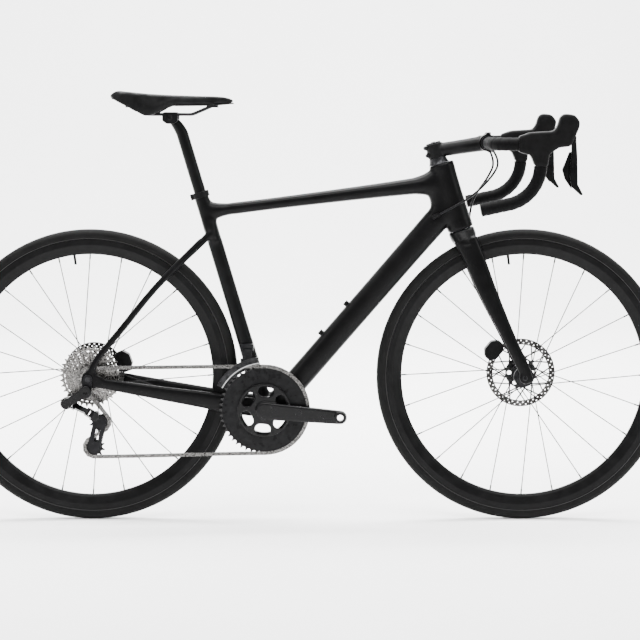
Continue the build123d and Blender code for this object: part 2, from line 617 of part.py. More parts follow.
# Control bodies with rubber hoods: an outline around the bar and the raised horn.
HOOD_OUTLINE = [
    (49, 17), (75, 26), (127, 29), (135, 42), (140, 60), (150, 67), (172, 64), (184, 49), (183, 39),
    (175, 18), (163, -6), (140, -7), (117, -22), (115, -50), (87, -50), (77, -24), (49, -17),
]
HOOD_HALF_WIDTH = 16.0
LEVER_PIVOT = BAR_CENTRE + Vector(171, 0, 14)
LEVER_HALF = 5.0
PIVOT_PIN = 2.0
with BuildPart() as hoods:
    outline = [(BAR_CENTRE.X + x, BAR_CENTRE.Z + z) for x, z in HOOD_OUTLINE]
    room = [(158, 22), (171, 25), (200, 25), (200, -40), (152, -40)]
    lever_room = [(BAR_CENTRE.X + x, BAR_CENTRE.Z + z) for x, z in room]
    for side in (-1, 1):
        middle = side * BAR_HALF_WIDTH
        plate(outline, middle - HOOD_HALF_WIDTH, middle + HOOD_HALF_WIDTH, 5.0)
        plate(lever_room, middle - LEVER_HALF - SEAM, middle + LEVER_HALF + SEAM, mode=Mode.SUBTRACT)
        pipe(bar_route(side, 0, HOOK_TURN, BAR_END_RUN), BAR_RADIUS, Mode.SUBTRACT)
        disc(LEVER_PIVOT, PIVOT_PIN, middle - 10, middle + 10)
    add(bar_tape.part, mode=Mode.SUBTRACT)
keep(hoods, "hoods")

# Brake levers hang from their pins; behind each one a shift paddle turns on a pin of
# its own, which the lever carries on its inner side.
LEVER_OUTLINE = [
    (-5, 2), (5, 3), (8, -37), (9, -70), (10, -102), (22, -124), (17, -126), (-3, -108), (-8, -84),
    (-8, -60), (-5, -38),
]
PADDLE_OUTLINE = [
    (-9, -31), (-1, -31), (-1, -45.5), (-5, -45.5), (-5, -52), (-2, -60), (-1, -106), (-3, -112),
    (-18, -90), (-24, -70), (-14, -45),
]
PADDLE_TOP = LEVER_PIVOT + Vector(-1, 0, -30)
PADDLE_BOTTOM = LEVER_PIVOT + Vector(-1, 0, -46)
PADDLE_PIN = 1.5
PADDLE_BARREL = 3.0
PADDLE_INSET = LEVER_HALF + PADDLE_BARREL + SEAM
for side, name in ((-1, "right"), (1, "left")):
    middle = side * BAR_HALF_WIDTH
    inset = LEFT * (middle - side * PADDLE_INSET)
    step = Vector(0, 0, 4)
    with BuildPart() as brake_lever:
        plate(
            [(LEVER_PIVOT.X + x, LEVER_PIVOT.Z + z) for x, z in LEVER_OUTLINE],
            middle - LEVER_HALF, middle + LEVER_HALF, 1.2,
        )
        disc(LEVER_PIVOT, 6.0, middle - LEVER_HALF, middle + LEVER_HALF)
        disc(LEVER_PIVOT, PIVOT_PIN + RUNNING, middle - 10, middle + 10, Mode.SUBTRACT)
        rod(PADDLE_TOP + inset + step, PADDLE_BOTTOM + inset - step, PADDLE_PIN)
        for end, away in ((PADDLE_TOP, step), (PADDLE_BOTTOM, step * -1)):
            rod(end + inset, end + inset + away, PADDLE_BARREL)
            rod(end + inset + away / 2, end + inset + away / 2 + LEFT * side * 6, 1.9)
    keep(brake_lever, f"brake_lever_{name}")
    with BuildPart() as shift_paddle:
        low, high = sorted((middle - side * (PADDLE_INSET - 1.5), middle - side * (PADDLE_INSET + 1.5)))
        rod(PADDLE_TOP + inset - UP * 0.3, PADDLE_BOTTOM + inset + UP * 0.3, PADDLE_BARREL)
        plate([(LEVER_PIVOT.X + x, LEVER_PIVOT.Z + z) for x, z in PADDLE_OUTLINE], low, high, 0.4)
        rod(PADDLE_TOP + inset + step * 2, PADDLE_BOTTOM + inset - step * 9, PADDLE_PIN + RUNNING, Mode.SUBTRACT)
    keep(shift_paddle, f"shift_paddle_{name}")


# ---------------------------------------------------------------- wheels
RIM_EDGE_RADIUS = TYRE_RADIUS - RIM_EDGE
RIM_BED_RADIUS = RIM_EDGE_RADIUS - 6.0
RIM_INNER_RADIUS = RIM_EDGE_RADIUS - RIM_DEPTH
HOOK_THICK = 1.6
FLANGE_RADIUS = 23.5
HUB_BORE = AXLE_RADIUS + RUNNING
SPOKE_SPREAD = 1.6
SPOKE_LEAN = 54.0  # degrees between a spoke's place on the rim and its place on the hub
ROTOR_SEAT_RADIUS = 17.0
FREEHUB_INNER_Y = -22.0
FRONT_FLANGES = (-35.0, 24.0)
REAR_FLANGES = (-18.5, 34.5)
FRONT_ROTOR_Y = HUB_FRONT / 2 - 10.3
REAR_ROTOR_Y = HUB_REAR / 2 - 15.3


def spin_plane(centre):
    """A plane for turned profiles: its X is the radius and its Y runs along the axle."""
    return Plane(origin=(centre.X, 0, centre.Z), x_dir=(1, 0, 0), z_dir=(0, 0, 1))


def make_tyre(centre):
    """A hollow tyre whose two beads sit between the rim's hooks."""
    inside = RIM_WIDTH / 2 - HOOK_THICK
    with BuildSketch(spin_plane(centre)) as face:
        with Locations((TYRE_RADIUS - TYRE_WIDTH / 2, 0)):
            Circle(TYRE_WIDTH / 2)
            Circle(TYRE_WIDTH / 2 - TYRE_WALL, mode=Mode.SUBTRACT)
        with Locations((RIM_BED_RADIUS + 1 - 20, 0)):
            Rectangle(40, 60, mode=Mode.SUBTRACT)
        with Locations((RIM_EDGE_RADIUS - 20, 0)):
            Rectangle(40, 12, mode=Mode.SUBTRACT)
        for side in (-1, 1):
            with Locations((RIM_EDGE_RADIUS - 20, side * (inside + 20))):
                Rectangle(40, 40, mode=Mode.SUBTRACT)
    return revolve(face.sketch, axis=Axis((centre.X, 0, centre.Z), (0, 1, 0)))


def make_rim(centre):
    """A deep hollow rim with hooks at its edge and a valve across its bed."""
    half = RIM_WIDTH / 2
    outside = [
        (RIM_EDGE_RADIUS, half), (RIM_EDGE_RADIUS, half - HOOK_THICK), (RIM_BED_RADIUS, half - HOOK_THICK),
        (RIM_BED_RADIUS, -half + HOOK_THICK), (RIM_EDGE_RADIUS, -half + HOOK_THICK),
        (RIM_EDGE_RADIUS, -half), (RIM_EDGE_RADIUS - 13, -half), (RIM_INNER_RADIUS + 5, -half * 0.5),
        (RIM_INNER_RADIUS, -3.5), (RIM_INNER_RADIUS, 3.5), (RIM_INNER_RADIUS + 5, half * 0.5),
        (RIM_EDGE_RADIUS - 13, half),
    ]
    inside = [
        (RIM_BED_RADIUS - 2, half - 2), (RIM_BED_RADIUS - 2, -half + 2), (RIM_EDGE_RADIUS - 13, -half + 2),
        (RIM_INNER_RADIUS + 5, -half * 0.5 + 2), (RIM_INNER_RADIUS + 5, half * 0.5 - 2),
        (RIM_EDGE_RADIUS - 13, half - 2),
    ]
    turned(centre, outside)
    turned(centre, inside, Mode.SUBTRACT)
    valve_turn = 90 + 180 / SPOKES
    rod(polar(centre, RIM_INNER_RADIUS - 22, valve_turn), polar(centre, RIM_BED_RADIUS - 1, valve_turn), 3.0)


def make_spokes(centre, flanges):
    """Crossed spokes: every second one leads and the others trail, on each flange."""
    step = 360 / SPOKES
    for k in range(SPOKES):
        side = k % 2
        lead = 1 if (k // 2) % 2 else -1
        rim_turn = k * step
        hub_turn = rim_turn + lead * SPOKE_LEAN
        start = polar(centre, FLANGE_RADIUS + 1, hub_turn, flanges[side] + lead * SPOKE_SPREAD)
        end = polar(centre, RIM_INNER_RADIUS - 0.6, rim_turn)
        rod(start, end, SPOKE_RADIUS)
        rod(end - (end - start).normalized() * 11, end, 1.7)


ROTOR_TRACK = 14.0  # the drilled band that the pads grip
ROTOR_HOLE = 1.5
ROTOR_HOLES = 36
ROTOR_ARMS = 12
ROTOR_ARM_WIDTH = 3.0
ROTOR_SPIDER = 36.0


def make_rotor(centre, y, radius):
    """A drilled brake rotor on thin crossed arms."""
    arm_middle = (radius - ROTOR_TRACK + ROTOR_SPIDER) / 2
    arm_length = (radius - ROTOR_TRACK - ROTOR_SPIDER) / cos(radians(34)) + 6
    with BuildSketch(side_plane(centre, y + ROTOR_THICK / 2)) as face:
        Circle(radius)
        Circle(radius - ROTOR_TRACK, mode=Mode.SUBTRACT)
        with PolarLocations(radius - 4.2, ROTOR_HOLES):
            Circle(ROTOR_HOLE, mode=Mode.SUBTRACT)
        with PolarLocations(radius - 9.4, ROTOR_HOLES, start_angle=5):
            Circle(ROTOR_HOLE, mode=Mode.SUBTRACT)
        for slant in (34, -34):
            with PolarLocations(arm_middle, ROTOR_ARMS):
                Rectangle(arm_length, ROTOR_ARM_WIDTH, rotation=slant)
        Circle(ROTOR_SPIDER)
        with PolarLocations(ROTOR_SPIDER - 9, 6):
            Circle(5.0, mode=Mode.SUBTRACT)
        Circle(ROTOR_SEAT_RADIUS, mode=Mode.SUBTRACT)
    extrude(face.sketch, amount=ROTOR_THICK)


def flange(y, waist):
    """A hub flange as part of a turned outline, from its lower Y to its higher Y."""
    return [(waist, y - 4), (FLANGE_RADIUS, y - 3), (FLANGE_RADIUS, y + 3), (waist, y + 4)]


for name, centre, flanges, rotor_y, rotor_radius in (
    ("front", FRONT_AXLE, FRONT_FLANGES, FRONT_ROTOR_Y, ROTOR_FRONT_RADIUS),
    ("rear", REAR_AXLE, REAR_FLANGES, REAR_ROTOR_Y, ROTOR_REAR_RADIUS),
):
    with BuildPart() as tyre:
        make_tyre(centre)
    keep(tyre, f"{name}_tyre")
    with BuildPart() as rim:
        make_rim(centre)
    keep(rim, f"{name}_rim")
    with BuildPart() as spokes:
        make_spokes(centre, flanges)
    keep(spokes, f"{name}_spokes")
    with BuildPart() as rotor:
        make_rotor(centre, rotor_y, rotor_radius)
    keep(rotor, f"{name}_rotor")

HUB_END = 9.0
with BuildPart() as front_hub:
    reach = HUB_FRONT / 2 - SEAM
    outline = [(HUB_BORE, -reach), (HUB_END, -reach), (HUB_END, -reach + 5), (12, -reach + 7)]
    outline += flange(FRONT_FLANGES[0], 12) + flange(FRONT_FLANGES[1], 12)
    outline += [(ROTOR_SEAT_RADIUS, FRONT_FLANGES[1] + 5), (ROTOR_SEAT_RADIUS, FRONT_ROTOR_Y + 2)]
    outline += [(HUB_END + 2, FRONT_ROTOR_Y + 3), (HUB_END, reach), (HUB_BORE, reach)]
    turned(FRONT_AXLE, outline)
keep(front_hub, "front_hub")

with BuildPart() as rear_hub:
    reach = HUB_REAR / 2 - SEAM
    outline = [(HUB_BORE, FREEHUB_INNER_Y + SEAM), (14, FREEHUB_INNER_Y + SEAM)]
    outline += flange(REAR_FLANGES[0] + 1, 14)[1:] + flange(REAR_FLANGES[1], 13)
    outline += [(ROTOR_SEAT_RADIUS, REAR_FLANGES[1] + 5), (ROTOR_SEAT_RADIUS, REAR_ROTOR_Y + 2)]
    outline += [(HUB_END + 2, REAR_ROTOR_Y + 3), (HUB_END, reach), (HUB_BORE, reach)]
    turned(REAR_AXLE, outline)
keep(rear_hub, "rear_hub")


# ---------------------------------------------------------------- chain line
CHAIN_Y = FIRST_COG_Y + COG_STEP * CHAIN_COG
CAGE_PIVOT = Vector(REAR_AXLE.X + 16, 0, REAR_AXLE.Z - 84)
GUIDE_FROM_PIVOT = Vector(8, 0, -17)
TENSION_FROM_PIVOT = Vector(-8.6, 0, -74.6)
TOOTH_TIP = 2.7
TOOTH_LAND = 1.8


def pitch_radius(teeth):
    """The radius of the circle through the chain's rollers on a toothed wheel."""
    return CHAIN_PITCH / (2 * sin(pi / teeth))


def turn_about_y(offset, turn):
    """An offset in X and Z turned by an angle, counter-clockwise seen from the right."""
    return Vector(
        offset.X * cos(turn) - offset.Z * sin(turn), 0, offset.X * sin(turn) + offset.Z * cos(turn)
    )


def chain_wheels(cage_turn):
    """The wheels in the order the chain meets them: centre, teeth and sense of travel."""
    return [
        (BB, BIG_RING_TEETH, -1),
        (CAGE_PIVOT + turn_about_y(TENSION_FROM_PIVOT, cage_turn), PULLEY_TEETH, -1),
        (CAGE_PIVOT + turn_about_y(GUIDE_FROM_PIVOT, cage_turn), PULLEY_TEETH, 1),
        (REAR_AXLE, COG_TEETH[CHAIN_COG], -1),
    ]


def chain_path(cage_turn):
    """For each wheel: where the chain meets it, its wrap, and the free run that follows."""
    wheels = chain_wheels(cage_turn)
    runs = []
    for i, (centre, teeth, sense) in enumerate(wheels):
        ahead, ahead_teeth, ahead_sense = wheels[(i + 1) % len(wheels)]
        own = sense * pitch_radius(teeth)
        other = ahead_sense * pitch_radius(ahead_teeth)
        gap = ahead - centre
        heading = atan2(gap.Z, gap.X) - asin((other - own) / hypot(gap.X, gap.Z))
        normal = Vector(-sin(heading), 0, cos(heading))
        runs.append((centre - normal * own, ahead - normal * other))
    path = []
    for i, (centre, teeth, sense) in enumerate(wheels):
        meets = runs[i - 1][1] - centre
        leaves = runs[i][0] - centre
        meet_turn = atan2(meets.Z, meets.X)
        wrap = (sense * (atan2(leaves.Z, leaves.X) - meet_turn)) % (2 * pi)
        path.append((centre, teeth, sense, meet_turn, wrap, runs[i][0], runs[i][1]))
    return path


def chain_pitches(path):
    """The length of the closed chain, in pitches."""
    wraps = sum(wrap * teeth / (2 * pi) for _, teeth, _, _, wrap, _, _ in path)
    return wraps + sum((end - start).length for *_, start, end in path) / CHAIN_PITCH


# The cage turns until the chain is a whole, even number of links.
CHAIN_LINKS = 2 * round(chain_pitches(chain_path(0.0)) / 2)
turn_low, turn_high = radians(-40), radians(40)
length_rises = chain_pitches(chain_path(turn_high)) > chain_pitches(chain_path(turn_low))
for _ in range(50):
    CAGE_TURN = (turn_low + turn_high) / 2
    if (chain_pitches(chain_path(CAGE_TURN)) > CHAIN_LINKS) == length_rises:
        turn_high = CAGE_TURN
    else:
        turn_low = CAGE_TURN
CHAIN_PATH = chain_path(CAGE_TURN)
GUIDE_AT = CHAIN_PATH[2][0]
TENSION_AT = CHAIN_PATH[1][0]
WHEEL_Y = (BIG_RING_Y, CHAIN_Y, CHAIN_Y, CHAIN_Y)


def chain_joint(count):
    """The place of a chain joint, counted in pitches from where the chain meets the ring."""
    left = count % CHAIN_LINKS
    for i, (centre, teeth, sense, meet_turn, wrap, start, end) in enumerate(CHAIN_PATH):
        on_wheel = wrap * teeth / (2 * pi)
        if left < on_wheel:
            turn = meet_turn + sense * left * 2 * pi / teeth
            return polar(centre, pitch_radius(teeth), degrees(turn), WHEEL_Y[i])
        left -= on_wheel
        run = (end - start).length / CHAIN_PITCH
        if left < run:
            share = left / run
            ease = share**3 * (10 - 15 * share + 6 * share * share)
            place = start + (end - start) * share
            side = WHEEL_Y[i] + (WHEEL_Y[(i + 1) % 4] - WHEEL_Y[i]) * ease
            return Vector(place.X, side, place.Z)
        left -= run
    return chain_joint(0)


def gap_turn(index):
    """The angle, in degrees, of a tooth gap that holds a roller on one of the wheels."""
    before = 0.0
    for centre, teeth, sense, meet_turn, wrap, start, end in CHAIN_PATH[:index]:
        before += wrap * teeth / (2 * pi) + (end - start).length / CHAIN_PITCH
    centre, teeth, sense, meet_turn, wrap, start, end = CHAIN_PATH[index]
    return degrees(meet_turn - sense * before * 2 * pi / teeth)


def toothed_face(centre, y, teeth, first_gap):
    """The outline of a toothed wheel, with a roller seat between every two teeth."""
    radius = pitch_radius(teeth)
    seat = ROLLER_RADIUS + SEAT_GAP
    tip = radius + TOOTH_TIP
    half_tooth = 180 / teeth - degrees(TOOTH_LAND / 2 / tip)
    middle = Vector(0, 0, 0)
    with BuildSketch(side_plane(centre, y)) as face:
        with BuildLine():
            for k in range(teeth):
                turn = first_gap + k * 360 / teeth
                roller = Vector(radius, 0).rotate(Axis.Z, turn)
                low, deep, high = (
                    roller + Vector(seat, 0).rotate(Axis.Z, turn + bend) for bend in (-110, 180, 110)
                )
                tip_low = Vector(tip, 0).rotate(Axis.Z, turn - half_tooth)
                tip_high = Vector(tip, 0).rotate(Axis.Z, turn + half_tooth)
                next_low = Vector(tip, 0).rotate(Axis.Z, turn + 360 / teeth - half_tooth)
                Line(tip_low, low)
                ThreePointArc(low, deep, high)
                Line(high, tip_high)
                Line(tip_high, next_low)
        make_face()
    return face


def sprocket(centre, y, thick, teeth, first_gap, bore, window=None, arms=5):
    """A toothed plate centred on a Y place, with a bore and, if asked, a ring of windows."""
    face = toothed_face(centre, y + thick / 2, teeth, first_gap)
    with BuildSketch(side_plane(centre, y + thick / 2)) as whole:
        add(face.sketch_local)
        if window:
            inner, outer, arm = window
            with BuildSketch(mode=Mode.SUBTRACT):
                Circle(outer)
                Circle(inner, mode=Mode.SUBTRACT)
                with PolarLocations((inner + outer) / 2, arms, start_angle=17):
                    Rectangle(outer - inner + 6, arm, mode=Mode.SUBTRACT)
        Circle(bore, mode=Mode.SUBTRACT)
    return extrude(whole.sketch, amount=thick)


# ---------------------------------------------------------------- cranks and rings
RING_THICK = 2.0
RING_INNER = 53.0
RING_BOLT_CIRCLE = 58.0
RING_BOLTS = 6
ARM_INNER = 57.0  # distance of the arms' inner faces from the wheel plane
ARM_OUTER = 70.0
PEDAL_FACE = 73.0
PEDAL_RADIUS = 7.14
PEDAL_BOSS = 15.5
ARM_ROOT = 20.0
BOSS_FACE = SHELL_HALF_WIDTH + CUP_FLANGE + SEAM
PEDAL_RIGHT = polar(BB, CRANK_LENGTH, CRANK_ANGLE)
PEDAL_LEFT = polar(BB, CRANK_LENGTH, CRANK_ANGLE + 180)


def crank_arm(pedal, side):
    """An arm that narrows from the spindle to the pedal, rounded on its outer face."""
    with BuildSketch(Plane(origin=(BB.X, side * ARM_INNER, BB.Z), x_dir=(1, 0, 0), z_dir=(0, side, 0))) as face:
        Circle(ARM_ROOT)
        with Locations(((pedal.X - BB.X), -side * (pedal.Z - BB.Z))):
            Circle(PEDAL_BOSS)
        make_hull()
    arm = extrude(face.sketch, amount=ARM_OUTER - ARM_INNER)
    edges = arm.faces().sort_by(Axis.Y)[-1 if side > 0 else 0].edges()
    fillet(edges, 4.0)
    low, high = sorted((side * (ARM_INNER + 2), side * PEDAL_FACE))
    disc(pedal, PEDAL_BOSS - 2, low, high)
    disc(pedal, PEDAL_RADIUS, low - 5, high + 5, Mode.SUBTRACT)


SPIDER_FACE = BIG_RING_Y - RING_THICK / 2 - 1.5
WINDOW_CIRCLE = 44.0
HUB_RADIUS = 17.0
with BuildPart() as arm_right:
    crank_arm(PEDAL_RIGHT, -1)
with BuildPart() as spider:
    disc(BB, RING_BOLT_CIRCLE + 4, -ARM_INNER, SPIDER_FACE)
    with BuildSketch(side_plane(BB, 0)):
        with PolarLocations(WINDOW_CIRCLE, RING_BOLTS, start_angle=CRANK_ANGLE + 30):
            SlotOverall(36, 24, rotation=90)
    extrude(amount=ARM_INNER + 1, mode=Mode.SUBTRACT)
    disc(BB, HUB_RADIUS, -ARM_INNER, -BOSS_FACE)
    disc(BB, SPINDLE_RADIUS, -ARM_INNER, 0, Mode.SUBTRACT)
with BuildPart() as spindle:
    disc(BB, SPINDLE_RADIUS, -ARM_INNER, ARM_OUTER - 3)
crank_right = Compound(label="crank_right", children=[arm_right.part, spider.part, spindle.part])
export_step(crank_right, "parts/crank_right.step")

with BuildPart() as crank_left:
    crank_arm(PEDAL_LEFT, 1)
    disc(BB, HUB_RADIUS, BOSS_FACE, ARM_INNER)
    disc(BB, SPINDLE_RADIUS, 0, ARM_OUTER + 5, Mode.SUBTRACT)
    disc(BB, SPINDLE_RADIUS - 2, ARM_OUTER - 3, ARM_OUTER + 1)
    disc(BB, SPINDLE_RADIUS, ARM_OUTER - 3, ARM_OUTER - 1)
keep(crank_left, "crank_left")

with BuildPart() as chainrings:
    sprocket(BB, BIG_RING_Y, RING_THICK, BIG_RING_TEETH, gap_turn(0), RING_INNER)
    sprocket(BB, SMALL_RING_Y, RING_THICK, SMALL_RING_TEETH, 0.0, RING_INNER)
    for k in range(RING_BOLTS):
        bolt_at = polar(BB, RING_BOLT_CIRCLE, CRANK_ANGLE + k * 360 / RING_BOLTS)
        disc(bolt_at, 4.8, BIG_RING_Y - RING_THICK / 2 - 1.5, SMALL_RING_Y + RING_THICK / 2 + 0.8)
    add(spider.part, mode=Mode.SUBTRACT)
keep(chainrings, "chainrings")

# ---------------------------------------------------------------- cassette
COG_THICK = 1.6
FREEHUB_RADIUS = 17.0
OPEN_COG = 17  # cogs with at least this many teeth have windows
with BuildPart() as cassette:
    for i, teeth in enumerate(COG_TEETH):
        y = FIRST_COG_Y + COG_STEP * i
        first_gap = gap_turn(3) if i == CHAIN_COG else 7.0 * i
        window = (FREEHUB_RADIUS + 4, pitch_radius(teeth) - 9, 6) if teeth >= OPEN_COG else None
        sprocket(REAR_AXLE, y, COG_THICK, teeth, first_gap, FREEHUB_RADIUS - 1, window)
    disc(REAR_AXLE, FREEHUB_RADIUS, FIRST_COG_Y - 1.6, FREEHUB_INNER_Y)
    disc(REAR_AXLE, HUB_END, -HUB_REAR / 2 + SEAM, FREEHUB_INNER_Y)
    disc(REAR_AXLE, HUB_BORE, -HUB_REAR, 0, Mode.SUBTRACT)
keep(cassette, "cassette")

# ---------------------------------------------------------------- chain
INNER_HALF = 1.1  # half the room between a link's inner plates
PLATE_THICK = 0.75
PLATE_HEIGHT = 8.2
OUTER_HALF = INNER_HALF + PLATE_THICK + 0.08
LINK_PIN = 1.8
with BuildPart() as inner_link:
    for side in (-1, 1):
        base = INNER_HALF if side > 0 else -INNER_HALF - PLATE_THICK
        with BuildSketch(Plane.XY.offset(base)):
            SlotCenterToCenter(CHAIN_PITCH, PLATE_HEIGHT)
        extrude(amount=PLATE_THICK)
    with BuildSketch(Plane.XY.offset(-INNER_HALF)):
        with Locations((-CHAIN_PITCH / 2, 0), (CHAIN_PITCH / 2, 0)):
            Circle(ROLLER_RADIUS)
    extrude(amount=2 * INNER_HALF)
    with BuildSketch(Plane.XY.offset(-3)):
        with Locations((-CHAIN_PITCH / 2, 0), (CHAIN_PITCH / 2, 0)):
            Circle(LINK_PIN + RUNNING)
    extrude(amount=6, mode=Mode.SUBTRACT)
with BuildPart() as outer_link:
    for side in (-1, 1):
        base = OUTER_HALF if side > 0 else -OUTER_HALF - PLATE_THICK
        with BuildSketch(Plane.XY.offset(base)):
            SlotCenterToCenter(CHAIN_PITCH, PLATE_HEIGHT - 0.4)
        extrude(amount=PLATE_THICK)
    with BuildSketch(Plane.XY.offset(-OUTER_HALF)):
        with Locations((-CHAIN_PITCH / 2, 0), (CHAIN_PITCH / 2, 0)):
            Circle(LINK_PIN)
    extrude(amount=2 * OUTER_HALF)
links = []
for k in range(CHAIN_LINKS):
    first, second = chain_joint(k), chain_joint(k + 1)
    along = (second - first).normalized()
    facing = (LEFT * -1 - along * (LEFT * -1).dot(along)).normalized()
    place = Plane(origin=(first + second) / 2, x_dir=along, z_dir=facing)
    links.append((inner_link if k % 2 else outer_link).part.moved(place.location))
chain = Compound(label="chain", children=links)
export_step(chain, "parts/chain.step")

# ---------------------------------------------------------------- front derailleur
CAGE_THICK = 1.2
FD_CAGE_INNER = BIG_RING_Y + 5.5
FD_CAGE_OUTER = BIG_RING_Y - 5.3
FD_CLEAR = pitch_radius(BIG_RING_TEETH) + TOOTH_TIP + 4.5
FD_PIVOT = on_seat_tube(141)
FD_PIVOT_Y = -27.5
FD_SWING = Vector(0, -8, -21.5)
FD_HALF = 11.0
EAR = 3.6
PIN = 2.0
fd_top = Vector(FD_PIVOT.X, FD_PIVOT_Y, FD_PIVOT.Z)
fd_low = fd_top + FD_SWING
ALONG_X = Vector(1, 0, 0)


def eyes(centre, radius, half, mode=Mode.ADD):
    """A pair of ears with a pin between them, across the X axis through centre."""
    for end in (-1, 1):
        rod(centre + ALONG_X * end * (half + 0.3), centre + ALONG_X * end * (half + 0.3 + EAR), radius, mode)
    rod(centre - ALONG_X * (half + EAR), centre + ALONG_X * (half + EAR), PIN, mode)


with BuildPart() as fd_mount:
    eyes(fd_top, 4.5, FD_HALF)
    low_x, high_x = fd_top.X - FD_HALF - EAR, fd_top.X + FD_HALF + EAR
    back = fd_top.Z + 5.5
    plate(
        [(low_x, back), (high_x, back), (high_x, back + 9), (low_x, back + 9)], FD_PIVOT_Y - 4, -8
    )
    for end in (low_x + EAR / 2 - 0.2, high_x - EAR / 2 + 0.2):
        foot = Vector(end, FD_PIVOT_Y, fd_top.Z)
        plate(
            [(end - 1.6, fd_top.Z), (end + 1.6, fd_top.Z), (end + 1.6, back + 9), (end - 1.6, back + 9)],
            FD_PIVOT_Y - 3.5, FD_PIVOT_Y + 4.5,
        )
    add(seat_blank.part, mode=Mode.SUBTRACT)
keep(fd_mount, "fd_mount")

with BuildPart() as fd_link:
    with BuildSketch(Plane(origin=(fd_top.X - FD_HALF, 0, 0), x_dir=(0, 1, 0), z_dir=(1, 0, 0))):
        with Locations(((fd_top.Y + fd_low.Y) / 2, (fd_top.Z + fd_low.Z) / 2)):
            SlotCenterToCenter(FD_SWING.length, 8, rotation=degrees(atan2(FD_SWING.Z, FD_SWING.Y)))
    extrude(amount=2 * FD_HALF)
    for end in (fd_top, fd_low):
        rod(end - ALONG_X * 30, end + ALONG_X * 30, PIN + RUNNING, Mode.SUBTRACT)
keep(fd_link, "fd_link")


def fd_sector(inner, outer, from_turn, to_turn, y_from, y_to):
    """A curved strip about the bottom bracket, following the big ring."""
    points = [polar(BB, outer, from_turn + (to_turn - from_turn) * k / 8) for k in range(9)]
    points += [polar(BB, inner, to_turn - (to_turn - from_turn) * k / 8) for k in range(9)]
    return plate([(p.X, p.Z) for p in points], y_from, y_to)


with BuildPart() as fd_cage:
    fd_sector(FD_CLEAR, FD_CLEAR + 15, 96, 152, FD_CAGE_OUTER - CAGE_THICK, FD_CAGE_OUTER)
    fd_sector(FD_CLEAR - 8, FD_CLEAR + 15, 98, 152, FD_CAGE_INNER, FD_CAGE_INNER + CAGE_THICK)
    fd_sector(FD_CLEAR + 13.8, FD_CLEAR + 15, 98, 116, FD_CAGE_OUTER, FD_CAGE_INNER)
    fd_sector(FD_CLEAR + 1, FD_CLEAR + 9, 150.5, 152, FD_CAGE_OUTER, FD_CAGE_INNER)
    eyes(fd_low, 4.2, FD_HALF)
    for end in (-1, 1):
        x = fd_low.X + end * (FD_HALF + 0.3 + EAR / 2)
        plate(
            [(x - 1.7, fd_low.Z - 12), (x + 1.7, fd_low.Z - 12), (x + 1.7, fd_low.Z), (x - 1.7, fd_low.Z)],
            FD_CAGE_INNER, fd_low.Y + 3.5,
        )
keep(fd_cage, "fd_cage")

# ---------------------------------------------------------------- rear derailleur
# The four-bar's own axes: along the body, across it (mostly to the left), and its pins.
RD_SLOPE = radians(30)
RD_SLANT = radians(20)
RD_ALONG = Vector(cos(RD_SLOPE), 0, -sin(RD_SLOPE))
RD_ACROSS = Vector(
    -sin(RD_SLOPE) * sin(RD_SLANT), cos(RD_SLANT), -cos(RD_SLOPE) * sin(RD_SLANT)
)
RD_PIN_DIR = RD_ALONG.cross(RD_ACROSS)
RD_LINK = 38.0
RD_START = radians(-25)
RD_GAP = 6.5  # half the distance between the two links' pins
RD_EYE = 3.8
RD_HALF = 6.0
RD_EAR = 3.0
CAGE_HALF = 4.5
CAGE_PLATE = 2.0
CAGE_OUTER_Y = CHAIN_Y - CAGE_HALF - CAGE_PLATE
CAGE_STUB = 5.0
KNUCKLE_DEPTH = 18.0
RD_STEP = RD_ALONG * (RD_LINK * cos(RD_START)) + RD_ACROSS * (RD_LINK * sin(RD_START))
RD_LOWER = Vector(CAGE_PIVOT.X, CAGE_OUTER_Y - 15.5, CAGE_PIVOT.Z) - RD_ALONG * 19
RD_UPPER = RD_LOWER - RD_STEP


def rd_pins(middle):
    """The outer and the inner pin's centre beside a four-bar end."""
    return middle - RD_ACROSS * RD_GAP, middle + RD_ACROSS * RD_GAP


def rd_plane(middle, height):
    """A plane across the four-bar's pins, at a height along them."""
    return Plane(origin=middle + RD_PIN_DIR * height, x_dir=RD_ALONG, z_dir=RD_PIN_DIR)


def rd_fork(middle, toward):
    """Ears on both ends of the two pins, joined by a web on one side."""
    for base in (RD_HALF + 0.3, -RD_HALF - 0.3 - RD_EAR):
        with BuildSketch(rd_plane(middle, base)) as ear:
            SlotCenterToCenter(2 * RD_GAP, 2 * RD_EYE + 1.6, rotation=90)
            with Locations((toward * 6, 0)):
                Rectangle(12, 2 * RD_GAP + 2 * RD_EYE)
        extrude(ear.sketch, amount=RD_EAR)
    with BuildSketch(rd_plane(middle, -RD_HALF - RD_EAR)) as web:
        with Locations((toward * 9.9, 0)):
            Rectangle(8.4, 2 * RD_GAP + 2 * RD_EYE)
    extrude(web.sketch, amount=2 * (RD_HALF + RD_EAR))
    for pin in rd_pins(middle):
        reach = RD_PIN_DIR * (RD_HALF + RD_EAR)
        rod(pin - reach, pin + reach, PIN)


def rd_link(index):
    """A link from an upper pin to a lower pin."""
    upper, lower = rd_pins(RD_UPPER)[index], rd_pins(RD_LOWER)[index]
    with BuildSketch(rd_plane((upper + lower) / 2, -RD_HALF)) as face:
        SlotCenterToCenter(RD_LINK, 2 * RD_EYE, rotation=degrees(RD_START))
    extrude(face.sketch, amount=2 * RD_HALF)
    for pin in (upper, lower):
        rod(pin - RD_PIN_DIR * 12, pin + RD_PIN_DIR * 12, PIN + RUNNING, Mode.SUBTRACT)


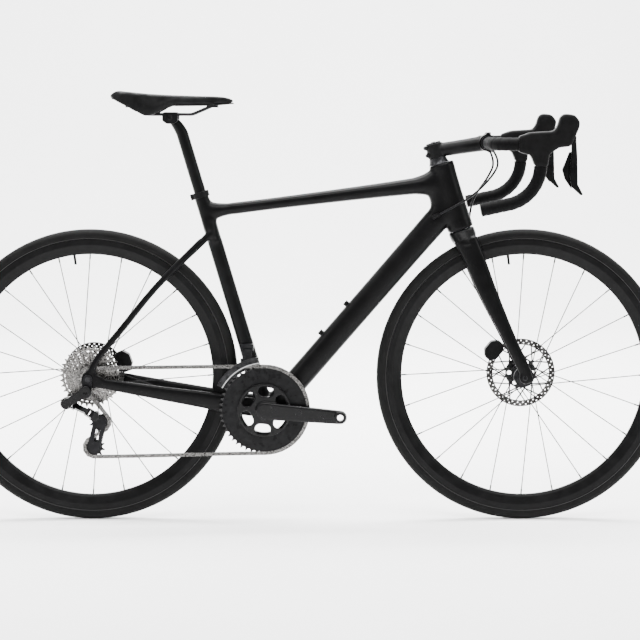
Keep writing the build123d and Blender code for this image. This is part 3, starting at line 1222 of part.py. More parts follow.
MOTOR_RADIUS = 13.5
MOTOR_AT = RD_UPPER - RD_ALONG * (MOTOR_RADIUS + 6) - UP * 3
with BuildPart() as rd_b_knuckle:
    disc(HANGER_BOLT, 14.0, -HANGER_OUTER - 15, -HANGER_OUTER)
    disc(HANGER_BOLT, 5.0, -HANGER_OUTER, -DROPOUT_OUTER)
    rd_fork(RD_UPPER, -1)
    arm_start = Vector(HANGER_BOLT.X - 3, -HANGER_OUTER - 8, HANGER_BOLT.Z - 3)
    rod(arm_start, RD_UPPER - RD_ALONG * 15, 6.0)
    disc(MOTOR_AT, MOTOR_RADIUS, RD_UPPER.Y - 14, RD_UPPER.Y + 8)
    strap(HANGER_BOLT, MOTOR_AT, 10.0, -HANGER_OUTER - 15, -HANGER_OUTER - 4)
    disc(HANGER_BOLT, 4.0, -HANGER_OUTER - 15, -HANGER_OUTER - 12, Mode.SUBTRACT)
    add(derailleur_hanger.part, mode=Mode.SUBTRACT)
keep(rd_b_knuckle, "rd_b_knuckle")

with BuildPart() as rd_outer_link:
    rd_link(0)
keep(rd_outer_link, "rd_outer_link")
with BuildPart() as rd_inner_link:
    rd_link(1)
keep(rd_inner_link, "rd_inner_link")

with BuildPart() as rd_p_knuckle:
    rd_fork(RD_LOWER, 1)
    disc(CAGE_PIVOT, 10.5, CAGE_OUTER_Y - SEAM - KNUCKLE_DEPTH - 4, CAGE_OUTER_Y - SEAM)
    disc(CAGE_PIVOT, CAGE_STUB + RUNNING, CAGE_OUTER_Y - SEAM - KNUCKLE_DEPTH, CAGE_OUTER_Y, Mode.SUBTRACT)
keep(rd_p_knuckle, "rd_p_knuckle")

PULLEY_BOLT = 2.5
CAGE_STRAP = 15.0
with BuildPart() as rd_cage:
    strap(CAGE_PIVOT, GUIDE_AT, 10.0, CAGE_OUTER_Y, CAGE_OUTER_Y + CAGE_PLATE)
    for y in (CAGE_OUTER_Y, CHAIN_Y + CAGE_HALF):
        strap(GUIDE_AT, TENSION_AT, CAGE_STRAP, y, y + CAGE_PLATE)
        window = (TENSION_AT - GUIDE_AT) * 0.3
        strap(GUIDE_AT + window, TENSION_AT - window, CAGE_STRAP / 3, y - 1, y + CAGE_PLATE + 1, Mode.SUBTRACT)
    for centre in (GUIDE_AT, TENSION_AT):
        disc(centre, PULLEY_BOLT, CAGE_OUTER_Y, CHAIN_Y + CAGE_HALF + CAGE_PLATE)
    disc(CAGE_PIVOT, CAGE_STUB, CAGE_OUTER_Y - KNUCKLE_DEPTH, CAGE_OUTER_Y)
keep(rd_cage, "rd_cage")

for name, index, centre in (("guide_pulley", 2, GUIDE_AT), ("tension_pulley", 1, TENSION_AT)):
    with BuildPart() as pulley:
        sprocket(centre, CHAIN_Y, RING_THICK, PULLEY_TEETH, gap_turn(index), PULLEY_BOLT + RUNNING)
        disc(centre, 8.0, CHAIN_Y - CAGE_HALF + 0.3, CHAIN_Y + CAGE_HALF - 0.3)
        disc(centre, PULLEY_BOLT + RUNNING, CHAIN_Y - 9, CHAIN_Y + 9, Mode.SUBTRACT)
    keep(pulley, name)


# ---------------------------------------------------------------- brakes
PAD_GAP = 0.55
PAD_THICK = 3.5
PAD_BACK = 1.4


CALIPER_HALF_HEIGHT = 25.0
CALIPER_OUTLINE = [
    (-18, -14), (-9, -CALIPER_HALF_HEIGHT), (6, -CALIPER_HALF_HEIGHT), (18, -12),
    (18, 12), (6, CALIPER_HALF_HEIGHT), (-9, CALIPER_HALF_HEIGHT), (-18, 14),
]


def tilted(centre, turn, corners):
    """Corners in X and Z from a centre, turned about it."""
    spots = [turn_about_y(Vector(x, 0, z), radians(turn)) for x, z in corners]
    return [(centre.X + spot.X, centre.Z + spot.Z) for spot in spots]


def tilted_box(centre, turn, length, height):
    """Corners of a rectangle in X and Z, turned about its centre."""
    x, z = length / 2, height / 2
    return tilted(centre, turn, [(-x, -z), (x, -z), (x, z), (-x, z)])


def caliper(axle, rotor_y, rotor_radius, turn, neighbours):
    """A caliper over the rotor's edge, its long side square to the rotor's radius."""
    middle = polar(axle, rotor_radius + 4, turn)
    pads_at = polar(axle, rotor_radius - 7, turn)
    plate(tilted(middle, turn, CALIPER_OUTLINE), rotor_y - 15, rotor_y + 13, 5.0)
    half = ROTOR_THICK / 2 + PAD_GAP + PAD_THICK + PAD_BACK
    plate(tilted_box(pads_at, turn, 21, 27), rotor_y - half, rotor_y + half, mode=Mode.SUBTRACT)
    disc(axle, rotor_radius + 2.5, rotor_y - 1.8, rotor_y + 1.8, Mode.SUBTRACT)
    for end in (-1, 1):
        bolt = middle + turn_about_y(Vector(8, 0, end * 18), radians(turn))
        low, high = sorted((rotor_y + 13, rotor_y + 15))
        disc(bolt, 3.5, low, high)
    for neighbour in neighbours:
        add(neighbour, mode=Mode.SUBTRACT)


def brake_pad(axle, rotor_y, rotor_radius, turn, side):
    """A brake pad on its back plate, on one side of the rotor."""
    near = rotor_y + side * (ROTOR_THICK / 2 + PAD_GAP)
    low, high = sorted((near, near + side * PAD_THICK))
    plate(tilted_box(polar(axle, rotor_radius - 7, turn), turn, 17, 24), low, high, 2.0)


FRONT_CALIPER_TURN = 140.0
REAR_CALIPER_TURN = 20.0
with BuildPart() as front_caliper:
    caliper(FRONT_AXLE, FRONT_ROTOR_Y, ROTOR_FRONT_RADIUS, FRONT_CALIPER_TURN, [fork.part])
keep(front_caliper, "front_caliper")
with BuildPart() as rear_caliper:
    caliper(
        REAR_AXLE, REAR_ROTOR_Y, ROTOR_REAR_RADIUS, REAR_CALIPER_TURN,
        [chainstays.part, seatstays.part],
    )
keep(rear_caliper, "rear_caliper")
for name, axle, rotor_y, rotor_radius, turn in (
    ("front", FRONT_AXLE, FRONT_ROTOR_Y, ROTOR_FRONT_RADIUS, FRONT_CALIPER_TURN),
    ("rear", REAR_AXLE, REAR_ROTOR_Y, ROTOR_REAR_RADIUS, REAR_CALIPER_TURN),
):
    for place, side in (("inner", -1), ("outer", 1)):
        with BuildPart() as pad:
            brake_pad(axle, rotor_y, rotor_radius, turn, side)
        keep(pad, f"{name}_pad_{place}")

# ---------------------------------------------------------------- seat post and saddle
RAIL_RADIUS = 3.5
RAIL_HALF = 22.0
TILT_AT = on_seat_tube(POST_TOP) + Vector(-26, 0, 36)
TILT_BARREL = 10.5
BARREL_HALF = 15.0
TILT_BOLT = 3.0
CHEEK_INNER = BARREL_HALF + 0.4
CHEEK_OUTER = RAIL_HALF + RAIL_RADIUS + 2.5
RAIL_Z = TILT_AT.Z + 7.5
with BuildPart() as seatpost:
    round_bar(seat_plane(POST_TOP - POST_LENGTH), POST_RADIUS, POST_LENGTH)
    head_from = on_seat_tube(POST_TOP)
    oval_loft(
        [
            (head_from, SEAT_DIR, 2 * POST_RADIUS, 2 * POST_RADIUS),
            (head_from + Vector(-9, 0, 16), Vector(-0.5, 0, 0.9), 27, 25),
            (TILT_AT, Vector(-0.6, 0, 0.8), 26, 17),
        ]
    )
    disc(TILT_AT, TILT_BARREL, -BARREL_HALF, BARREL_HALF)
    disc(TILT_AT, TILT_BOLT + RUNNING, -40, 40, Mode.SUBTRACT)
keep(seatpost, "seatpost")

CHEEK = [(-18, -7), (-8, -14), (8, -14), (18, -7), (18, 13), (-18, 13)]
with BuildPart() as saddle_clamp:
    for side in (-1, 1):
        low, high = sorted((side * CHEEK_INNER, side * CHEEK_OUTER))
        plate([(TILT_AT.X + x, TILT_AT.Z + z) for x, z in CHEEK], low, high, 6.0)
        rail_at = Vector(TILT_AT.X - 40, side * RAIL_HALF, RAIL_Z)
        rod(rail_at, rail_at + Vector(80, 0, 0), RAIL_RADIUS + RUNNING, Mode.SUBTRACT)
    disc(TILT_AT, TILT_BOLT, -CHEEK_OUTER, CHEEK_OUTER)
    disc(TILT_AT, 5.0, -CHEEK_OUTER - 3, -CHEEK_OUTER)
keep(saddle_clamp, "saddle_clamp")

SADDLE_TAIL = -445.0
SADDLE_HALF = 71.0
SADDLE_TOP = 985.0
SADDLE_BASE = 958.0
SHELL_THICK = 3.0
SHELL_INSET = 3.0
WING_THICK = 9.0
WING_RUN = 150  # from the tail to where the wings end
# Half widths at distances from the tail; then heights over the top and the base, by X.
SADDLE_PLAN = [
    (0, 48), (10, 61), (35, SADDLE_HALF), (70, 66), (110, 47), (150, 30), (195, 22), (240, 19),
    (266, 15), (278, 8),
]
TOP_LINE = [(-445, 2), (-433, 8), (-358, 0.5), (-311, -2), (-217, -4), (-182, -6), (-167, -12)]
UNDER_LINE = [(-167, 6), (-213, 2), (-300, 1), (-380, 6), (-445, 17)]
WING_LINE = [(-167, 9), (-213, 5), (-290, 4), (-316, -2), (-347, -19), (-364, -23), (-445, 19)]


def mirrored(half_plan):
    """A closed plan from the corners of its right half."""
    return half_plan + [(x, -y) for x, y in reversed(half_plan)]


def saddle_slice(inset, lower_line):
    """The saddle's plan, less an inset, between a lower line and its top line."""
    upper = [(x, SADDLE_TOP + z) for x, z in TOP_LINE]
    lower = [(x, SADDLE_BASE + z) for x, z in lower_line]
    half_plan = [(SADDLE_TAIL + max(x, inset), inset - half) for x, half in SADDLE_PLAN]
    with BuildSketch(Plane.XY.offset(SADDLE_BASE - 40)) as plan:
        with BuildLine():
            Polyline(mirrored(half_plan), close=True)
        make_face()
        fillet(plan.vertices(), 7.0)
    extrude(plan.sketch, amount=100)
    plate(upper + lower, -SADDLE_HALF - 5, SADDLE_HALF + 5, mode=Mode.INTERSECT)


# The room between the pad's two wings, under the shell.
with BuildPart() as wing_room:
    half_plan = [(SADDLE_TAIL + x, WING_THICK - half) for x, half in SADDLE_PLAN if x <= WING_RUN]
    half_plan = [(SADDLE_TAIL - 20, WING_THICK - SADDLE_PLAN[0][1])] + half_plan
    with BuildSketch(Plane.XY.offset(SADDLE_BASE - 60)):
        with BuildLine():
            Polyline(mirrored(half_plan), close=True)
        make_face()
    extrude(amount=120)
    room_line = [(x, SADDLE_BASE + SHELL_THICK + z) for x, z in UNDER_LINE]
    room_line += [(SADDLE_TAIL - 30, room_line[-1][1] + 5), (SADDLE_TAIL - 30, SADDLE_BASE - 50)]
    plate(room_line + [(-167, SADDLE_BASE - 50)], -SADDLE_HALF, SADDLE_HALF, mode=Mode.INTERSECT)

with BuildPart() as saddle_pad:
    saddle_slice(0.0, WING_LINE)
    add(wing_room.part, mode=Mode.SUBTRACT)
keep(saddle_pad, "saddle_pad")

with BuildPart() as saddle_shell:
    saddle_slice(SHELL_INSET, UNDER_LINE)
    for x, y, height in ((-216, 0, 14), (-398, -34, 12), (-398, 34, 12)):
        with BuildSketch(Plane.XY.offset(SADDLE_BASE - 2)):
            with Locations((x, y)):
                Rectangle(26, 34 if y == 0 else 16)
        extrude(amount=height)
    add(saddle_pad.part, mode=Mode.SUBTRACT)
keep(saddle_shell, "saddle_shell")


def rail_route(side):
    """A saddle rail from its tail socket, through the clamp, to its nose socket."""
    points = [
        (-396, side * 34, SADDLE_BASE + 1), (-366, side * RAIL_HALF, RAIL_Z), (-262, side * RAIL_HALF, RAIL_Z),
        (-218, side * 10, SADDLE_BASE + 1),
    ]
    with BuildLine() as line:
        FilletPolyline(*points, radius=22)
    return line.line


with BuildPart() as saddle_rails:
    for side in (-1, 1):
        pipe(rail_route(side), RAIL_RADIUS)
    add(saddle_shell.part, mode=Mode.SUBTRACT)
keep(saddle_rails, "saddle_rails")


# ---------------------------------------------------------------- brake hoses
def hose_radii(points):
    """The bend at each inner point: 0.45 of the shorter run over half the turn's tangent."""
    radii = []
    for before, here, after in zip(points, points[1:], points[2:]):
        first, second = Vector(*here) - Vector(*before), Vector(*after) - Vector(*here)
        half_turn = acos(first.normalized().dot(second.normalized())) / 2
        radii.append(0.45 * min(first.length, second.length) / tan(half_turn))
    return radii


def hose(points):
    """A hose through hand-placed points, with an arc at every inner one."""
    with BuildLine() as line:
        FilletPolyline(*points, radius=hose_radii(points))
    return line.line


for name, points in (("front_brake_hose", FRONT_HOSE), ("rear_brake_hose", REAR_HOSE)):
    route = hose(points)
    with BuildPart() as hose_part:
        pipe(route, HOSE_RADIUS)
    keep(hose_part, name)
    length = sum(edge.length for edge in route.edges())
    section = pi * HOSE_RADIUS**2 * length
    print(name, "radii", [round(r) for r in hose_radii(points)], "length", round(length))
    print(name, "volume", round(hose_part.part.volume), "section times length", round(section))
print("chain links", CHAIN_LINKS, "cage turn", round(degrees(CAGE_TURN), 2))
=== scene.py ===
from math import cos, hypot, pi, radians, sin

import bmesh
import bpy
from mathutils import Matrix, Vector


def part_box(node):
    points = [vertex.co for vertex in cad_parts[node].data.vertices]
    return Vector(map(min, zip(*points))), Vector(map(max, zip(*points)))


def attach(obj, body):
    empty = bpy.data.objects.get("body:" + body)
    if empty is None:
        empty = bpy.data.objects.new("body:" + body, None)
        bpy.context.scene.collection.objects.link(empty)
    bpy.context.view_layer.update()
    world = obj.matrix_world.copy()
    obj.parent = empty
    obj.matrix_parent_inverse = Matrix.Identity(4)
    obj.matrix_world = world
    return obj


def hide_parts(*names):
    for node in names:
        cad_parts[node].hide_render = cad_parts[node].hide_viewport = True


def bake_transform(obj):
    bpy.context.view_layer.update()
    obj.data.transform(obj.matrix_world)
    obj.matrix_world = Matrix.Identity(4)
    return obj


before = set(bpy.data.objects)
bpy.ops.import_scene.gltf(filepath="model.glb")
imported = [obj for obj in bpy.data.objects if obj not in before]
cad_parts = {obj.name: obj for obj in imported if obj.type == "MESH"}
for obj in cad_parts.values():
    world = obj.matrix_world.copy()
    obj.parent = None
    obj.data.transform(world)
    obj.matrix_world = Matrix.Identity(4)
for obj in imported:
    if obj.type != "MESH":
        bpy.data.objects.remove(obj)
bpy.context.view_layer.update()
MM = 0.001

# ---- Camera. It stands on the drive side at the height of the handlebar, far back with a
# long lens, and looks slightly down at the middle of the bicycle.
camera_data = bpy.data.cameras.new("camera")
camera_data.lens = 107.5
camera_data.sensor_width = 36.0
camera = bpy.data.objects.new("camera", camera_data)
bpy.context.scene.collection.objects.link(camera)
camera.location = (0.030, -4.4, 0.945)
camera.rotation_euler = (Vector((0.030, 0, 0.467)) - camera.location).to_track_quat("-Z", "Y").to_euler()
bpy.context.scene.camera = camera


# ---- Brake hoses. Each is a smooth black hydraulic hose 5 mm thick: the front one runs from
# the bar to the fork crown, and the rear one from the bar to a port beside the head tube.
def finish(name, dark, light, rough, metal=0.0, patch=25.0, grain=1200.0, height=0.03, coat=0.0, gleam=0.08):
    """A surface whose colour and roughness drift from patch to patch, with a fine grain of that height in mm."""
    material = bpy.data.materials.new(name)
    material.use_nodes = True
    nodes, links = material.node_tree.nodes, material.node_tree.links
    shader = nodes["Principled BSDF"]
    shader.inputs["Metallic"].default_value = metal
    shader.inputs["Coat Weight"].default_value = coat
    shader.inputs["Coat Roughness"].default_value = 0.12
    shader.inputs["Specular IOR Level"].default_value = gleam
    place = nodes.new("ShaderNodeTexCoord").outputs["Object"]
    drift = nodes.new("ShaderNodeTexNoise")
    drift.inputs["Scale"].default_value = patch
    drift.inputs["Detail"].default_value = 6.0
    drift.inputs["Roughness"].default_value = 0.62
    shades = nodes.new("ShaderNodeValToRGB")
    shades.color_ramp.elements[0].position = 0.36
    shades.color_ramp.elements[0].color = (*dark, 1)
    shades.color_ramp.elements[1].position = 0.66
    shades.color_ramp.elements[1].color = (*light, 1)
    polish = nodes.new("ShaderNodeMapRange")
    polish.inputs["From Min"].default_value = 0.3
    polish.inputs["From Max"].default_value = 0.7
    polish.inputs["To Min"].default_value, polish.inputs["To Max"].default_value = rough
    skin = nodes.new("ShaderNodeTexNoise")
    skin.inputs["Scale"].default_value = grain
    skin.inputs["Detail"].default_value = 3.0
    bump = nodes.new("ShaderNodeBump")
    bump.inputs["Strength"].default_value = 1.0
    bump.inputs["Distance"].default_value = height * MM
    links.new(place, drift.inputs["Vector"])
    links.new(place, skin.inputs["Vector"])
    links.new(drift.outputs["Fac"], shades.inputs["Fac"])
    links.new(drift.outputs["Fac"], polish.inputs["Value"])
    links.new(shades.outputs["Color"], shader.inputs["Base Color"])
    links.new(polish.outputs["Result"], shader.inputs["Roughness"])
    links.new(skin.outputs["Fac"], bump.inputs["Height"])
    links.new(bump.outputs["Normal"], shader.inputs["Normal"])
    return material


def whole_mesh(name, mesh, material):
    """An object at the origin that holds the mesh, with one material."""
    piece = bpy.data.objects.new(name, mesh)
    bpy.context.scene.collection.objects.link(piece)
    mesh.materials.clear()
    mesh.materials.append(material)
    mesh.polygons.foreach_set("use_smooth", [True] * len(mesh.polygons))
    return piece


def mesh_of(piece):
    """The mesh that an object shows once its curve or modifiers are worked out."""
    seen = piece.evaluated_get(bpy.context.evaluated_depsgraph_get())
    return bpy.data.meshes.new_from_object(seen)


def hose(name, route, material):
    """A hose along a smooth line through its route."""
    line = bpy.data.curves.new(name + "_line", "CURVE")
    line.dimensions = "3D"
    spline = line.splines.new("NURBS")
    spline.points.add(len(route) - 1)
    for point, place in zip(spline.points, route):
        point.co = (*(Vector(place) * MM), 1)
    spline.order_u = 3
    spline.use_endpoint_u = True
    spline.resolution_u = 16
    guide = bpy.data.objects.new(name + "_guide", line)
    bpy.context.scene.collection.objects.link(guide)
    path = [vertex.co.copy() for vertex in mesh_of(guide).vertices]
    line.bevel_depth = 2.5 * MM
    line.bevel_resolution = 6
    line.use_fill_caps = True
    tube = whole_mesh(name, mesh_of(guide), material)
    bpy.data.objects.remove(guide)
    return tube


hose_black = finish("hose_black", (0.004, 0.004, 0.0044), (0.008, 0.008, 0.009), (0.30, 0.42), grain=2500, height=0.01)
front_hose = hose(
    "front_hose",
    [(423, 52, 858), (436, 40, 832), (418, 20, 796), (386, 28, 752), (377, 33, 714), (374, 31, 680)],
    hose_black,
)
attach(front_hose, "steering")
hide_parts("front_brake_hose")
rear_hose = hose(
    "rear_hose",
    [(423, -52, 858), (440, -38, 834), (424, -24, 800), (386, -38, 762), (345, -46, 736), (303, -30, 713)],
    hose_black,
)
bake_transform(rear_hose)
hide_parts("rear_brake_hose")

# ---- Floor and light. The bicycle stands on a seamless pale sweep of paper, lit by a broad
# box overhead, two tall side boxes and the bright room around it.
# Further lamps stand over the sweep and over the floor, to keep the paper pale.
paper = finish("paper", (0.93, 0.93, 0.93), (0.95, 0.95, 0.95), (0.85, 0.95), patch=2.0, grain=300, height=0.02)
bm = bmesh.new()
edge = [bm.verts.new((-14, -12, 0)), bm.verts.new((14, -12, 0))]
bm.edges.new(edge)
run = bmesh.ops.extrude_edge_only(bm, edges=bm.edges[:])["geom"]
bmesh.ops.translate(bm, verts=[v for v in run if isinstance(v, bmesh.types.BMVert)], vec=(0, 16, 0))
far = [e for e in bm.edges if all(v.co.y > 3.9 for v in e.verts)]
bmesh.ops.spin(bm, geom=far, cent=(0, 4, 3), axis=(1, 0, 0), angle=radians(90), steps=24)
high = [e for e in bm.edges if all(v.co.z > 2.99 for v in e.verts)]
run = bmesh.ops.extrude_edge_only(bm, edges=high)["geom"]
bmesh.ops.translate(bm, verts=[v for v in run if isinstance(v, bmesh.types.BMVert)], vec=(0, 0, 9))
bmesh.ops.recalc_face_normals(bm, faces=bm.faces)
mesh = bpy.data.meshes.new("floor")
bm.to_mesh(mesh)
floor = whole_mesh("floor", mesh, paper)

world = bpy.data.worlds.new("room")
world.use_nodes = True
world.node_tree.nodes["Background"].inputs["Color"].default_value = (1, 1, 1, 1)
world.node_tree.nodes["Background"].inputs["Strength"].default_value = 0.8
bpy.context.scene.world = world


def soft_box(name, place, aim, width, height, power):
    """A large soft lamp that faces a point."""
    lamp = bpy.data.lights.new(name, "AREA")
    lamp.shape = "RECTANGLE"
    lamp.size, lamp.size_y, lamp.energy = width, height, power
    holder = bpy.data.objects.new(name, lamp)
    bpy.context.scene.collection.objects.link(holder)
    holder.location = place
    holder.rotation_euler = (Vector(aim) - Vector(place)).to_track_quat("-Z", "Y").to_euler()


soft_box("top_box", (0, 0.5, 3.4), (0, 0.3, 0.3), 4.2, 2.2, 380)
soft_box("left_box", (-3.6, -1.6, 2.4), (0, 0.6, 0.5), 1.2, 2.0, 60)
soft_box("right_box", (3.6, -1.6, 2.4), (0, 0.6, 0.5), 1.2, 2.0, 60)
soft_box("sweep_box", (0, 1.4, 4.4), (0, 5.4, 1.4), 8.0, 1.6, 1500)
soft_box("floor_box", (0, -3.2, 4.6), (0, -1.2, 0.0), 6.0, 1.2, 420)


# ---- Frame. It is one piece of carbon fibre, moulded from lofted tubes whose joints flow into
# each other, with a satin black paint over it. The plates at the back hold the rear axle.
def middle(node):
    """The middle of a CAD node's box."""
    low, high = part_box(node)
    return (low + high) / 2


def flat(place):
    """The same place, moved into the bicycle's middle plane."""
    return Vector((place.x, 0, place.z))


REAR = flat(middle("rear_hub"))
FRONT = flat(middle("front_hub"))
BB = flat(middle("chainrings"))
STEER = Vector((-cos(radians(73.0)), 0, sin(radians(73.0))))
AHEAD = Vector((sin(radians(73.0)), 0, cos(radians(73.0))))
STEER_FOOT = FRONT - AHEAD * 45 * MM
SEAT = Vector((-cos(radians(73.5)), 0, sin(radians(73.5))))
LEFT = Vector((0, 1, 0))


def on_steerer(along, ahead=0.0, side=0.0):
    """A place along the steering axis, ahead of it and to its left, in mm."""
    return STEER_FOOT + (STEER * along + AHEAD * ahead + LEFT * side) * MM


def on_seat_tube(along, side=0.0):
    """A place along the seat tube from the bottom bracket, in mm."""
    return BB + (SEAT * along + LEFT * side) * MM


def between(stations, steps):
    """More stations on smooth lines through the given ones: each is a place, a width and a depth."""
    found = []
    last = len(stations) - 1
    for i in range(last):
        four = [stations[max(0, min(last, j))] for j in (i - 1, i, i + 1, i + 2)]
        for step in range(steps):
            t = step / steps
            shares = (
                (-t + 2 * t * t - t ** 3) / 2, (2 - 5 * t * t + 3 * t ** 3) / 2,
                (t + 4 * t * t - 3 * t ** 3) / 2, (t ** 3 - t * t) / 2,
            )
            place = sum((share * s[0] for share, s in zip(shares, four)), Vector())
            found.append((
                place, sum(share * s[1] for share, s in zip(shares, four)),
                sum(share * s[2] for share, s in zip(shares, four)),
            ))
    return found + [stations[-1]]


def tube(bm, stations, steps=1, square=2.3, facing=None):
    """Lofts a closed tube through its stations. Above 2, square makes its section a rounder box."""
    stations = between(stations, steps)
    rings = []
    for i, (place, width, depth) in enumerate(stations):
        run = facing or (stations[min(i + 1, len(stations) - 1)][0] - stations[max(i - 1, 0)][0])
        run = run.normalized()
        across = (LEFT - run * run.dot(LEFT)).normalized()
        turn = Matrix((across, run.cross(across), run)).transposed().to_4x4()
        ring = bmesh.ops.create_circle(bm, cap_ends=i in (0, len(stations) - 1), segments=40, radius=1.0)["verts"]
        for v in ring:
            v.co /= (abs(v.co.x) ** square + abs(v.co.y) ** square) ** (1 / square)
        size = Matrix.Diagonal((width * MM / 2, depth * MM / 2, 1, 1))
        bmesh.ops.transform(bm, verts=ring, matrix=Matrix.Translation(place) @ turn @ size)
        rings.append({e for v in ring for e in v.link_edges})
    for one, two in zip(rings, rings[1:]):
        bmesh.ops.bridge_loops(bm, edges=list(one | two))


def plate(bm, outline, y_from, y_to):
    """A flat plate with this outline in X and Z, in metres, between two Y places."""
    face = bm.faces.new([bm.verts.new((x, y_from, z)) for x, z in outline])
    grown = bmesh.ops.extrude_face_region(bm, geom=[face])["geom"]
    bmesh.ops.translate(bm, verts=[v for v in grown if isinstance(v, bmesh.types.BMVert)], vec=(0, y_to - y_from, 0))


def drum(bm, centre, radius, y_from, y_to, segments=48):
    """A cylinder across the bicycle, in metres."""
    place = Matrix.Translation((centre.x, (y_from + y_to) / 2, centre.z)) @ Matrix.Rotation(pi / 2, 4, "X")
    bmesh.ops.create_cone(
        bm, cap_ends=True, segments=segments, radius1=radius, radius2=radius, depth=abs(y_to - y_from), matrix=place
    )


def smoothed(bm, verts, passes):
    """Evens out part of a mesh a number of times."""
    for _ in range(passes):
        bmesh.ops.smooth_vert(bm, verts=verts, factor=0.5, use_axis_x=True, use_axis_y=True, use_axis_z=True)


def melted(bm, name, material, voxel, passes):
    """Joins overlapping shapes into one skin and softens every edge and joint of it."""
    bmesh.ops.remove_doubles(bm, verts=bm.verts, dist=1e-6)
    bmesh.ops.recalc_face_normals(bm, faces=bm.faces)
    mesh = bpy.data.meshes.new(name + "_rough")
    bm.to_mesh(mesh)
    rough = whole_mesh(name + "_rough", mesh, material)
    skin = rough.modifiers.new("skin", "REMESH")
    skin.mode = "VOXEL"
    skin.voxel_size = voxel * MM
    bm.clear()
    bm.from_mesh(mesh_of(rough))
    bpy.data.objects.remove(rough)
    smoothed(bm, bm.verts, passes)


def placed(bm, name, material, body, replaced=()):
    """Makes the finished mesh a piece that rides on a body and stands for its CAD nodes."""
    mesh = bpy.data.meshes.new(name)
    bm.to_mesh(mesh)
    bm.free()
    piece = whole_mesh(name, mesh, material)
    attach(piece, body)
    if replaced:
        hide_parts(*replaced)
    return piece


def soften(bm, centre, radius, passes):
    """Smooths a joint further, so that its tubes meet in a wide fillet."""
    smoothed(bm, [v for v in bm.verts if (v.co - centre).length < radius * MM], passes)


satin_black = finish(
    "satin_black_paint", (0.0012, 0.0012, 0.0013), (0.0024, 0.0024, 0.0026), (0.28, 0.36),
    patch=18, grain=3200, height=0.012,
)
skin = bmesh.new()
head_stations = [(on_steerer(366.5, 4.5), 54, 60), (on_steerer(445, 4.5), 51, 57), (on_steerer(524.5, 4.5), 51, 57)]
tube(skin, head_stations, 3, 2.1, STEER)
top_start, top_end = on_seat_tube(473), on_steerer(480.5)
top_run = top_end - top_start
top_sizes = ((0, 28, 29), (0.3, 34, 27), (0.75, 40, 34), (1, 42, 44))  # a share of the run, a width, a depth
tube(skin, [(top_start + top_run * share, width, depth) for share, width, depth in top_sizes], 4, 2.5, top_run)
down_start, down_end = BB + Vector((0.021, 0, 0)), on_steerer(430)
down_run = down_end - down_start
down_sizes = ((0, 56, 56), (0.25, 50, 55), (0.75, 46, 56), (1, 46, 60))
tube(skin, [(down_start + down_run * share, width, depth) for share, width, depth in down_sizes], 4, 2.6, down_run)
seat_sizes = ((8, 46, 40), (110, 38, 36), (260, 34, 34), (520, 34, 34))  # a place on the tube, a width, a depth
tube(skin, [(on_seat_tube(along), width, depth) for along, width, depth in seat_sizes], 3, 2.1, SEAT)
drum(skin, BB, 0.0245, -0.036, 0.036)
foot, tail = BB / MM, REAR / MM
for side in (-1, 1):
    stations = [
        (foot.x - 6, 23.0, foot.z + 1, 46, 18), (foot.x - 79, 29.5, foot.z + 10, 44, 15),
        (foot.x - 139, 38.5, foot.z + 22, 40, 15), (tail.x + 170, 54, tail.z - 36, 33, 15),
        (tail.x + 84, 66, tail.z - 20, 28, 12), (tail.x + 22, 74.5, tail.z - 8, 24, 7.5),
    ]
    tube(skin, [(Vector((x, side * y, z)) * MM, thick, height) for x, y, z, height, thick in stations], 6, 2.5)
    stations = [
        (tail.x + 5, 74.5, tail.z + 12, 17, 7.5), (tail.x + 24, 73.5, tail.z + 50, 15.5, 8.5),
        (tail.x + 70, 61, tail.z + 106, 15.5, 10.5), (tail.x + 160, 41, tail.z + 214, 15.5, 11.5),
    ]
    top = on_seat_tube(425, side * 20.5) / MM
    stations.append((top.x, side * top.y, top.z, 19, 13))
    tube(skin, [(Vector((x, side * y, z)) * MM, thick, height) for x, y, z, height, thick in stations], 6, 2.3)
    tip = [(-17, -6), (-13, -17), (10, -22), (34, -19), (34, 5), (18, 12), (20, 30), (4, 24), (-13, 11)]
    plate(skin, [(REAR.x + x * MM, REAR.z + z * MM) for x, z in tip], side * 0.0708, side * 0.0782)
# The stays grow out of the seat tube, and the tubes swell where they run into each other.
tube(skin, [(on_seat_tube(400), 40, 30), (on_seat_tube(430), 46, 34), (on_seat_tube(455), 36, 34)], 3, 2.2, SEAT)
swell = ((395, -8, 44, 46), (425, -17, 43, 54), (455, -18, 42, 54), (492, -9, 42, 42))
tube(skin, [(on_steerer(along, ahead), width, depth) for along, ahead, width, depth in swell], 3, 2.2, STEER)
forward = top_run.normalized()
root = top_end - forward * 0.045
tube(skin, [(root - forward * 0.035, 38, 35), (root, 41, 50), (root + forward * 0.024, 44, 76)], 4, 2.3, top_run)
root = top_start + forward * 0.005
tube(skin, [(root, 33, 60), (root + forward * 0.014, 32, 41), (root + forward * 0.042, 31, 29)], 4, 2.2, top_run)
melted(skin, "frame_skin", satin_black, 2.2, 8)
soften(skin, on_seat_tube(462), 62, 22)
soften(skin, on_steerer(447), 66, 30)
soften(skin, BB, 75, 10)
placed(
    skin, "frame_skin", satin_black, "frame",
    ("head_tube", "top_tube", "down_tube", "seat_tube", "chainstays", "seatstays"),
)


# ---- Frame fittings. The seat collar, hanger and bottle bosses are alloy with a black
# anodised skin, and the bearings and cups are black steel.
def dress(material, *names):
    """Gives CAD nodes their finish."""
    for name in names:
        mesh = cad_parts[name].data
        mesh.materials.clear()
        mesh.materials.append(material)


